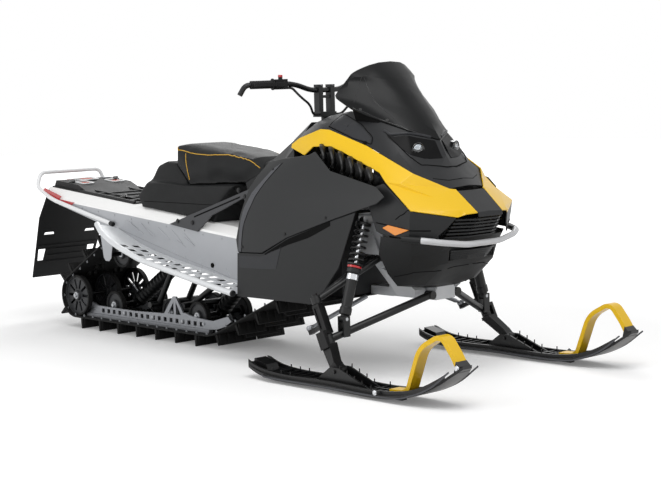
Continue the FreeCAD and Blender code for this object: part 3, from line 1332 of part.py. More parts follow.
def ski_shape():
    """Deck with raised edges, keel, rear block and a saddle whose ears hold the ski bolt."""
    half = size("ski_width") / 2
    wall = size("ski_wall")
    rib = size("ski_rib_width")
    deck = strip(0, wall, -half, half)
    edges = [strip(wall - 1, wall + size("ski_rib_height"), side * (half - 22) - rib / 2, side * (half - 22) + rib / 2)
             for side in (-1, 1)]
    body = deck.fuse(edges)
    plan = [(480, 40), (505, 62), (640, 76), (700, half), (1330, half), (1480, 66), (1570, 46), (1612, 22)]
    ring = [Vector(x, -y, -20) for x, y in plan] + [Vector(x, y, -20) for x, y in reversed(plan)]
    body = body.common(flat_face(ring).extrude(Vector(0, 0, 400)))
    keel = box_between(Vector(640, -size("keel_width") / 2, 0), Vector(1300, size("keel_width") / 2,
                                                                       size("keel_height") + 1))
    ear_in = size("barrel_width") / 2 + size("ear_gap")
    ear_out = ear_in + size("ear_wall")
    bolt_z = size("ski_bolt_z")
    x = size("ski_bolt_x")
    top = size("keel_height") + wall - 1
    ears = []
    for low, high in ((-ear_out, -ear_in), (ear_in, ear_out)):
        ring = [Vector(x - 120, low, top), Vector(x + 190, low, top), Vector(x + 150, low, top + 16),
                Vector(x + 26, low, bolt_z + 16), Vector(x - 22, low, bolt_z + 16), Vector(x - 90, low, top + 14)]
        ears.append(flat_face(ring).extrude(Vector(0, high - low, 0)))
    bolt = Part.makeCylinder(size("pin_radius"), 2 * ear_out + 12, Vector(x, -ear_out - 6, bolt_z), Vector(0, 1, 0))
    tail = [Vector(500, -30, 40), Vector(590, -30, 20), Vector(575, -30, 58), Vector(506, -30, 76)]
    block = flat_face(tail).extrude(Vector(0, 60, 0)).cut(strip(-200, wall - 1, -60, 60))
    inner = half - 22
    slats = [box_between(Vector(place, -inner, 0), Vector(place + 5, inner, 200))
             for place in list(range(640, 840, 40)) + list(range(1170, 1400, 32))]
    ribs = strip(wall - 1, wall + size("ski_rib_height") - 3, -inner, inner).common(Part.makeCompound(slats))
    spine = strip(wall - 1, wall + size("ski_rib_height") - 3, -4, 4)
    spine = spine.common(box_between(Vector(1150, -10, 0), Vector(1400, 10, 200)))
    shape = body.fuse([keel, block, bolt, ribs, spine] + ears)
    shape.translate(Vector(0, -size("ski_spread"), 0))
    return shape


ski = node("ski_right", stored("ski_right", ski_shape()))
node("ski_left", mirrored("ski_left", ski))


def ski_loop_shape():
    """The hand loop over the ski's tip, a flat bar bent in one plane."""
    y = -size("ski_spread")
    points = [Vector(1250, y, 31), Vector(1335, y, 34), Vector(1400, y, 205), Vector(1505, y, 262),
              Vector(1562, y, 190), Vector(1592, y, 138)]
    return band(points, Vector(0, size("loop_width"), 0), size("loop_wall"), 0.35)


doc.recompute()
loop = ski_loop_shape().cut(ski.Shape)
loop_piece = node("ski_loop_right", stored("ski_loop_right", max(loop.Solids, key=lambda s: s.Volume)))
node("ski_loop_left", mirrored("ski_loop_left", loop_piece))


# Steering: post, riser, handlebar, grips, controls and hoses
def steering_post_shape():
    x = size("steer_x")
    low = RISER_BOTTOM
    high = size("bar_height") + size("bar_radius") + 12
    spread = size("clamp_spread")
    leg = size("riser_width") / 2
    solids = [Part.makeCylinder(size("post_radius"), low - POST_BOTTOM + 1, Vector(x, 0, POST_BOTTOM)),
              box_between(Vector(x - 24, -spread - leg, low), Vector(x + 24, spread + leg, low + 22))]
    for side in (-1, 1):
        y = side * spread
        solids.append(box_between(Vector(x - 16, y - leg, low + 20), Vector(x + 16, y + leg, high)))
    solids.append(box_between(Vector(x - 12, -spread, size("bar_height") - 34),
                              Vector(x + 12, spread, size("bar_height") - 22)))
    bore = Part.makeCylinder(size("bar_radius"), 200, Vector(x, -100, size("bar_height")), Vector(0, 1, 0))
    return solids[0].fuse(solids[1:]).cut(bore)


node("steering_post", stored("steering_post", steering_post_shape()))

BAR_PLACES = ((0, -78, 0), (-4, -150, 22), (-13, -190, 29), (-78, -372, 27), (-96, -388, -14))
BAR_HALF = [Vector(size("steer_x") + x, y, size("bar_height") + z) for x, y, z in BAR_PLACES]
bar_line = list(reversed(BAR_HALF)) + [Vector(p.x, -p.y, p.z) for p in BAR_HALF]
node("handlebar", tube("handlebar", bar_line, "Sizes.bar_radius", 0.4))
GRIP_RUN = BAR_HALF[2:4]


def grip_shape():
    """A rubber grip over the bar's outer run, with its flange."""
    start, end = GRIP_RUN
    first = start + (end - start) * 0.36
    second = end - (end - start) * 0.12
    run = (second - first).normalize()
    shape = rod(first, second, size("grip_radius")).fuse(
        Part.makeCylinder(size("grip_radius") + 7, 5, first, run))
    return shape.cut(Part.makeCylinder(size("bar_radius") + 0.05, 200, first - run * 20, run))


grip = stored("grip", grip_shape())


def control_shape():
    """Switch block clamped on the bar with a blade lever in front of the grip."""
    start, end = GRIP_RUN
    run = (end - start).normalize()
    centre = start + (end - start) * 0.19
    ahead = run.cross(Vector(0, 0, 1)).normalize()
    if ahead.x < 0:
        ahead = ahead * -1
    up = run.cross(ahead)
    if up.z < 0:
        up = up * -1

    def block(along_1, along_2, ahead_1, ahead_2, up_1, up_2):
        corner = centre + run * along_1 + ahead * ahead_1 + up * up_1
        ring = [corner, corner + ahead * (ahead_2 - ahead_1),
                corner + ahead * (ahead_2 - ahead_1) + up * (up_2 - up_1), corner + up * (up_2 - up_1)]
        return flat_face(ring).extrude(run * (along_2 - along_1))

    lever_root = centre + run * 8 + ahead * 38
    lever = band([lever_root, lever_root + run * 60 + ahead * 16, lever_root + run * 128 + ahead * 12],
                 up * 14, 7, 0.4)
    solids = [block(-24, 30, -20, 22, -22, 20), block(-6, 22, 18, 44, -10, 8),
              Part.makeCylinder(9, 16, centre + up * 19, up), lever]
    bore = Part.makeCylinder(size("bar_radius") + 0.05, 300, centre - run * 150, run)
    return solids[0].fuse(solids[1:]).cut(bore), centre - up * 17 - run * 24.3, run, up


controls, hose_start, bar_run, bar_up = control_shape()
both_sides("controls", group("right_controls", [grip, stored("control", controls)]))

hose_ends = Vector(size("steer_x") + 16, -size("clamp_spread") - size("riser_width") / 2 - 0.3, RISER_BOTTOM + 11)
hose_points = [hose_start, hose_start - bar_run * 26, Vector(size("steer_x") + 34, -165, size("bar_height") - 29),
               Vector(size("steer_x") + 36, -118, size("bar_height") - 59), hose_ends - Vector(0, 36, 0), hose_ends]
hose = tube("hose", hose_points, "Sizes.hose_radius")
both_sides("hoses", hose)

doc.recompute()
faults = [item.Label for item in doc.Objects if "Invalid" in item.State or "Error" in item.State]
for piece in NODES:
    if piece.Shape.isNull() or not piece.Shape.isValid():
        faults.append(piece.Label)
if faults:
    raise RuntimeError("These objects failed: " + ", ".join(faults))

os.makedirs("parts", exist_ok=True)
for piece in NODES:
    piece.Shape.exportStep(os.path.join("parts", piece.Label + ".step"))
print("rear axle at", round(REAR_X, 1), "nodes", len(NODES))
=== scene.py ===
"""Snowmobile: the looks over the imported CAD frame, laid out as a Blender add-on and run as a script.

Metres, +X forwards, +Y to the rider's left, +Z up, origin on the ground under the middle.
"""
import json
import math

import bmesh
import bpy
import numpy as np
from mathutils import Matrix, Vector
from mathutils.bvhtree import BVHTree


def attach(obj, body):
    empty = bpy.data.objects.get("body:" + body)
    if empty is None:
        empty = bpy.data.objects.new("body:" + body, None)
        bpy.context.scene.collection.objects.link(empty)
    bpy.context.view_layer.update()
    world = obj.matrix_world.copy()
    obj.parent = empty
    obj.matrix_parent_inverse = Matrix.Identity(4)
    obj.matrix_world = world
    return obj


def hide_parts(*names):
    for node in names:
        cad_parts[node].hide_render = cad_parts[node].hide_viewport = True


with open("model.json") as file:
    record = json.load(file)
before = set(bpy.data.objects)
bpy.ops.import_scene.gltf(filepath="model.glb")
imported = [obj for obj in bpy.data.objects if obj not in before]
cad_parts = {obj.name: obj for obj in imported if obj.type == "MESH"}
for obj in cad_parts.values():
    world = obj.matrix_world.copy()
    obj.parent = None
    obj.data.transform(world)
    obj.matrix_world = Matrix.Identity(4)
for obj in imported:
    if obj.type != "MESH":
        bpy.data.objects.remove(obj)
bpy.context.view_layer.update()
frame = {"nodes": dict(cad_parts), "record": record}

bl_info = {
    "name": "Snowmobile finish",
    "version": (1, 0, 0),
    "blender": (4, 5, 0),
    "location": "View3D > Sidebar > Snowmobile",
    "description": "Adds the track, springs, seat, panels, lamps and finishes of a snowmobile",
    "category": "Object",
}

MM = 0.001
BODY_OF = {name: body for body, members in frame["record"]["behaviour"]["bodies"].items() for name in members}
NOISE, CELLS = "ShaderNodeTexNoise", "ShaderNodeTexVoronoi"

# Degrees from which an edge stays sharp: on made pieces, on plates, on CAD nodes and on pads
SHARP_MADE, SHARP_PLATE, SHARP_CAD, SHARP_PAD = 40.0, 30.0, 32.0, 60.0
# Degrees from which an edge is bevelled, and below which two faces become one
BEVEL_FROM, FLAT_BELOW = 28.0, 0.4
# Points nearer than WELD metres are merged, and a seam's points lie SEAM_STEP millimetres apart
WELD, SEAM_STEP = 1e-5, 9
# The tunnel's top falls by this share forwards; its white band lies where slope * x + z passes WHITE_FROM
# metres, with a blend of BLEND metres on both sides
TUNNEL_SLOPE, WHITE_FROM, BLEND = 0.0907, 0.5093, 0.0005


# Forms: a form is (points, faces), points as an array of (x, y, z) in metres
# and faces as lists of point numbers
def merged(*forms):
    """One form from several: points stacked, face numbers shifted by the points before them."""
    points, faces, first = [], [], 0
    for form_points, form_faces in forms:
        points.append(np.asarray(form_points, float))
        faces += [[number + first for number in face] for face in form_faces]
        first += len(form_points)
    return np.concatenate(points), faces


def grid_form(grid, wrap_rows=False, wrap_columns=False, caps=False):
    """A skin over grid[i, j] = (x, y, z); each cell is one quad, and caps closes the first and last row."""
    rows, columns = grid.shape[:2]
    numbers = np.arange(rows * columns).reshape(rows, columns)
    if wrap_rows:
        numbers = np.vstack([numbers, numbers[:1]])
    if wrap_columns:
        numbers = np.hstack([numbers, numbers[:, :1]])
    corners = numbers[:-1, :-1], numbers[:-1, 1:], numbers[1:, 1:], numbers[1:, :-1]
    faces = np.stack(corners, -1).reshape(-1, 4).tolist()
    if caps:
        ring = np.arange(columns)
        faces += [ring[::-1].tolist(), (ring + (rows - 1) * columns).tolist()]
    return grid.reshape(-1, 3), faces


def box_form(low, high):
    """A box by its lowest and highest corners, in millimetres."""
    low, high = np.array(low, float) * MM, np.array(high, float) * MM
    pick = np.array([[0, 0, 0], [1, 0, 0], [1, 1, 0], [0, 1, 0], [0, 0, 1], [1, 0, 1], [1, 1, 1], [0, 1, 1]])
    points = low + (high - low) * pick
    return points, [[0, 3, 2, 1], [4, 5, 6, 7], [0, 1, 5, 4], [1, 2, 6, 5], [2, 3, 7, 6], [3, 0, 4, 7]]


def slab_form(outline, wall):
    """A flat plate: an outline of (x, y, z) in millimetres, copied along wall and joined round its edge."""
    outline = np.array(outline, float) * MM
    count = len(outline)
    points = np.concatenate([outline, outline + np.array(wall, float) * MM])
    ring = np.arange(count)
    sides = np.stack([ring, (ring + 1) % count, (ring + 1) % count + count, ring + count], -1).tolist()
    return points, [ring[::-1].tolist(), (ring + count).tolist()] + sides


def frames_along(path, steady=None):
    """Unit side and rise at each point of a path: the side is square to the path and to the steady axis."""
    tangent = np.gradient(path, axis=0)
    tangent /= np.linalg.norm(tangent, axis=1)[:, None]
    if steady is None:
        steady = np.eye(3)[np.argmin(np.abs(tangent).max(axis=0))]
    side = np.cross(steady, tangent)
    side /= np.linalg.norm(side, axis=1)[:, None]
    return side, np.cross(tangent, side)


def swept(path, section, steady=None):
    """A profile carried along a path: path point + a * side + b * rise for each (a, b) of the section."""
    path = np.asarray(path, float)
    section = np.asarray(section, float)
    side, rise = frames_along(path, steady)
    grid = path[:, None] + side[:, None] * section[None, :, :1] + rise[:, None] * section[None, :, 1:]
    return grid_form(grid, wrap_columns=True, caps=True)


def circle(radius, steps=16):
    """A ring of (a, b) points: radius times cosine and sine."""
    turn = np.linspace(0, 2 * math.pi, steps, endpoint=False)
    return np.stack([np.cos(turn), np.sin(turn)], -1) * radius


def rod(first, second, radius, steps=16):
    """A round bar between two points, all in millimetres."""
    line = np.linspace(np.array(first, float), np.array(second, float), 2) * MM
    return swept(line, circle(radius * MM, steps))


def square_to(direction):
    """A unit axis along a direction, and two unit lines: side = helper x axis and rise = axis x side."""
    axis = np.array(direction, float) / np.linalg.norm(direction)
    helper = np.array([0, 0, 1.0]) if abs(axis[2]) < 0.9 else np.array([1.0, 0, 0])
    side = np.cross(helper, axis)
    side /= np.linalg.norm(side)
    return axis, side, np.cross(axis, side)


def turned(profile, centre, axis, steps=32, ring=False):
    """A lathe shape: (along, radius) pairs in millimetres turned about axis through centre.

    Its points are centre + along * axis + radius * (cosine * side + sine * rise); ring closes the profile.
    """
    axis, side, rise = square_to(axis)
    turn = np.linspace(0, 2 * math.pi, steps, endpoint=False)
    profile = np.array(profile, float)
    radial = np.cos(turn)[:, None] * side + np.sin(turn)[:, None] * rise
    grid = (np.array(centre, float) + profile[:, None, :1] * axis + profile[:, None, 1:] * radial[None]) * MM
    return grid_form(grid, wrap_rows=ring, wrap_columns=True, caps=not ring)


def runs(points, count):
    """Straight runs through points, cut evenly by length into count points."""
    points = np.asarray(points, float)
    length = np.concatenate([[0], np.cumsum(np.linalg.norm(np.diff(points, axis=0), axis=1))])
    place = np.linspace(0, length[-1], count)
    return np.stack([np.interp(place, length, points[:, axis]) for axis in range(3)], -1)


def eased(points, count):
    """A smooth line through points: Catmull-Rom cubic pieces sampled evenly by number."""
    points = np.asarray(points, float)
    padded = np.vstack([2 * points[0] - points[1], points, 2 * points[-1] - points[-2]])
    place = np.linspace(0, len(points) - 1, count)
    start = np.minimum(place.astype(int), len(points) - 2)
    t = (place - start)[:, None]
    a, b, c, d = (padded[start + k] for k in range(4))
    return 0.5 * (2 * b + (c - a) * t + (2 * a - 5 * b + 4 * c - d) * t ** 2
                  + (3 * b - a - 3 * c + d) * t ** 3)


def coil(first, second, radius, wire, turns, steps=20):
    """A spring: radius times cosine and sine of the angle, which grows evenly from first to second."""
    first, second = np.array(first, float) * MM, np.array(second, float) * MM
    axis = (second - first) / np.linalg.norm(second - first)
    side = np.cross(axis, [1.0, 0, 0])
    side /= np.linalg.norm(side)
    rise = np.cross(axis, side)
    place = np.linspace(0, 1, int(turns * steps) + 1)[:, None]
    angle = place * turns * 2 * math.pi
    radial = np.cos(angle) * side + np.sin(angle) * rise
    path = first + (second - first) * place + radial * radius * MM
    ring = circle(wire * MM, 8)
    grid = path[:, None] + radial[:, None] * ring[None, :, :1] + axis[None, None] * ring[None, :, 1:]
    return grid_form(grid, wrap_columns=True, caps=True)


def stamped(form, bases, ahead, up):
    """Copies of a form: base + x * ahead + y * (up x ahead) + z * up for every base."""
    points, faces = form
    bases, ahead, up = (np.asarray(value, float) for value in (bases, ahead, up))
    across = np.cross(up, ahead)
    spread = (bases[:, None] + points[None, :, :1] * ahead[:, None] + points[None, :, 1:2] * across[:, None]
              + points[None, :, 2:] * up[:, None]).reshape(-1, 3)
    copies = []
    for number in range(len(bases)):
        copies += [[index + number * len(points) for index in face] for face in faces]
    return spread, copies


def bolts(places, normal, radius=6.0, height=4.0):
    """Hexagon heads with a washer, standing on places in millimetres along one normal."""
    washer = radius * 1.45
    profile = [(0, washer), (1.2, washer), (1.2, radius), (height, radius * 0.96)]
    head = turned(profile, (0, 0, 0), (0, 0, 1), 6)
    normal, side, _ = square_to(normal)
    places = np.array(places, float) * MM
    return stamped(head, places, np.tile(-side, (len(places), 1)), np.tile(normal, (len(places), 1)))


def other_side(form):
    """The form mirrored to the left side, its faces turned round."""
    points, faces = form
    return points * [1, -1, 1], [face[::-1] for face in faces]


def both(*forms):
    """Forms on the right side and their mirror images."""
    right = merged(*forms)
    return merged(right, other_side(right))


def shell_form(top, base):
    """A thin closed body between two equal grids: both skins and the rim that joins them."""
    rows, columns = top.shape[:2]
    upper, faces = grid_form(top)
    lower, under = grid_form(base)
    shift = rows * columns
    numbers = np.arange(shift).reshape(rows, columns)
    rim = np.concatenate([numbers[0, :-1], numbers[:-1, -1], numbers[-1, :0:-1], numbers[:0:-1, 0]])
    following = np.roll(rim, -1)
    sides = np.stack([following, rim, rim + shift, following + shift], -1).tolist()
    return np.concatenate([upper, lower]), faces + [[n + shift for n in face[::-1]] for face in under] + sides


SKINS = {}


def tree_of(mesh):
    """The faces of a mesh as a tree for nearest points."""
    points = [point.co for point in mesh.vertices]
    return BVHTree.FromPolygons(points, [face.vertices for face in mesh.polygons])


def skin(name):
    """The skin of a CAD node, or of a finished piece kept under its name."""
    if name not in SKINS:
        SKINS[name] = tree_of(frame["nodes"][name].data)
    return SKINS[name]


def draped(name, points, out, lift=0.0, reach=12.0):
    """Points in millimetres laid on a skin: moved reach along out, to the nearest point, then lift off it."""
    out = Vector(out).normalized()
    landed = []
    for point in np.asarray(points, float).reshape(-1, 3):
        spot, normal, _, _ = skin(name).find_nearest((Vector(point) + out * reach) * MM)
        landed.append(spot + (normal if normal.dot(out) > 0 else -normal) * lift * MM)
    return np.array(landed)


def seam(name, points, out, radius=1.1):
    """A thin welt along straight runs laid on a skin, half sunk."""
    length = np.linalg.norm(np.diff(np.asarray(points, float), axis=0), axis=1).sum()
    path = draped(name, runs(points, max(3, int(length / SEAM_STEP))), out)
    return swept(path, circle(radius * MM, 8))


def plate(name, upper, lower, out, lift=1.0, sink=1.5, rows=6, columns=18):
    """A thin plate laid on a skin: the blend of an upper and a lower line, with a wall of lift and sink."""
    share = np.linspace(0, 1, rows)[:, None, None]
    flat = runs(upper, columns) * (1 - share) + runs(lower, columns) * share
    return shell_form(draped(name, flat, out, lift).reshape(flat.shape),
                      draped(name, flat, out, -sink).reshape(flat.shape))


def values_of(mesh, kind):
    """One value of each vertex, such as co or normal, as rows of three."""
    values = np.empty(len(mesh.vertices) * 3)
    mesh.vertices.foreach_get(kind, values)
    return values.reshape(-1, 3)


# Pieces
def piece(name, form, coat, body="chassis", bevel=0.0, smooth=SHARP_MADE, stands_for=()):
    """An object from a form, outward faces, softened edges, riding on its body."""
    mesh = bpy.data.meshes.new(name)
    points, faces = form
    mesh.from_pydata(points.tolist(), [], faces)
    return finished(name, mesh, coat, body, bevel, smooth, stands_for)


def finished(name, mesh, coat, body, bevel, smooth, stands_for, subdivide=0, seal=True):
    """Turn the faces outwards, mark the edges sharper than smooth degrees, and bevel or subdivide."""
    work = bmesh.new()
    work.from_mesh(mesh)
    if seal:
        bmesh.ops.remove_doubles(work, verts=work.verts, dist=2 * WELD)
        bmesh.ops.recalc_face_normals(work, faces=work.faces)
    limit = math.radians(smooth)
    for edge in work.edges:
        edge.smooth = edge.calc_face_angle(0.0) < limit
    for face in work.faces:
        face.smooth = True
    work.to_mesh(mesh)
    work.free()
    made = bpy.data.objects.new(name, mesh)
    bpy.context.scene.collection.objects.link(made)
    mesh.materials.append(FINISH[coat])
    if bevel:
        soft = made.modifiers.new("soft edges", "BEVEL")
        soft.width = bevel * MM
        soft.segments = 2
        soft.limit_method = "ANGLE"
        soft.angle_limit = math.radians(BEVEL_FROM)
        soft.use_clamp_overlap = True
        shade = made.modifiers.new("even shading", "WEIGHTED_NORMAL")
        shade.keep_sharp = True
    if subdivide:
        fine = made.modifiers.new("fine skin", "SUBSURF")
        fine.levels = subdivide
        fine.render_levels = subdivide
    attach(made, body)
    if stands_for:
        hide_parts(*stands_for)
    return made


def dressed(name, coat, bevel=0.0):
    """A merged copy of a CAD node with soft edges, standing for the node."""
    source = frame["nodes"][name]
    mesh = bpy.data.meshes.new("dressed_" + name)
    work = bmesh.new()
    work.from_mesh(source.data)
    bmesh.ops.remove_doubles(work, verts=work.verts, dist=WELD)
    bmesh.ops.dissolve_limit(work, angle_limit=math.radians(FLAT_BELOW), verts=work.verts, edges=work.edges)
    work.to_mesh(mesh)
    work.free()
    return finished("dressed_" + name, mesh, coat, BODY_OF[name], bevel, SHARP_CAD, (name,),
                    seal=False)


# Materials
def tone(colour):
    """An sRGB hex colour as linear red, green, blue and 1: each channel by the sRGB curve."""
    channel = np.array([int(colour[i:i + 2], 16) for i in (1, 3, 5)]) / 255
    linear = np.where(channel <= 0.04045, channel / 12.92, ((channel + 0.055) / 1.055) ** 2.4)
    return (*linear.tolist(), 1.0)


def add(tree, kind, inputs=(), **settings):
    """A node with its settings, its inputs set or linked."""
    made = tree.nodes.new(kind)
    for key, value in settings.items():
        setattr(made, key, value)
    for socket, value in dict(inputs).items():
        if isinstance(value, bpy.types.NodeSocket):
            tree.links.new(value, made.inputs[socket])
        else:
            made.inputs[socket].default_value = value
    return made


def finish(name, colour, roughness, metallic=0.0, coat=0.0, grain=(), blotch=0.12, blotch_mm=60.0,
           spread=0.08, ior=None, transmission=0.0, specular=None, band=None):
    """A surface: colour and roughness that drift over blotch_mm, bumps given as (kind, size_mm, height_mm).

    colour is an sRGB hex, or linear red, green and blue from the panel. The drift runs from
    colour * (1 - blotch) to colour * (1 + blotch), and from roughness - spread to roughness + spread.
    band is (colour, direction, distance): the colour beyond a plane at that distance along the direction.
    """
    material = bpy.data.materials.new(name)
    material.use_nodes = True
    tree = material.node_tree
    shader = tree.nodes["Principled BSDF"]
    shader.inputs["Metallic"].default_value = metallic
    shader.inputs["Coat Weight"].default_value = coat
    shader.inputs["Coat Roughness"].default_value = 0.08
    shader.inputs["Transmission Weight"].default_value = transmission
    if ior:
        shader.inputs["IOR"].default_value = ior
    if specular is not None:
        shader.inputs["Specular IOR Level"].default_value = specular
    place = add(tree, "ShaderNodeTexCoord").outputs["Object"]
    noise = add(tree, NOISE, {"Vector": place, "Scale": 1 / MM / blotch_mm, "Detail": 4.0})
    drift = noise.outputs["Fac"]
    base = tone(colour)[:3] if isinstance(colour, str) else colour
    darker, lighter = ([min(1.0, value * share) for value in base] + [1.0]
                       for share in (1 - blotch, 1 + blotch))
    # Inputs 6 and 7 and output 2 are the Mix node's colours
    mixed = add(tree, "ShaderNodeMix", {0: drift, 6: darker, 7: lighter}, data_type="RGBA").outputs[2]
    if band:
        band_colour, direction, distance = band
        along = add(tree, "ShaderNodeVectorMath", {0: place, 1: direction}, operation="DOT_PRODUCT")
        beyond = add(tree, "ShaderNodeMapRange", {"Value": along.outputs["Value"],
                                                  "From Min": distance - BLEND,
                                                  "From Max": distance + BLEND}).outputs["Result"]
        mixed = add(tree, "ShaderNodeMix", {0: beyond, 6: mixed, 7: tone(band_colour)},
                    data_type="RGBA").outputs[2]
    tree.links.new(mixed, shader.inputs["Base Color"])
    rough = add(tree, "ShaderNodeMapRange", {"Value": drift, "To Min": max(0.02, roughness - spread),
                                             "To Max": min(1.0, roughness + spread)})
    tree.links.new(rough.outputs["Result"], shader.inputs["Roughness"])
    normal = None
    for kind, size_mm, height_mm in grain:
        pattern = add(tree, kind, {"Vector": place, "Scale": 1 / MM / size_mm})
        bump = add(tree, "ShaderNodeBump", {"Height": pattern.outputs[0], "Distance": height_mm * MM,
                                            "Strength": 0.6})
        if normal:
            tree.links.new(normal, bump.inputs["Normal"])
        normal = bump.outputs["Normal"]
    if normal:
        tree.links.new(normal, shader.inputs["Normal"])
    return material


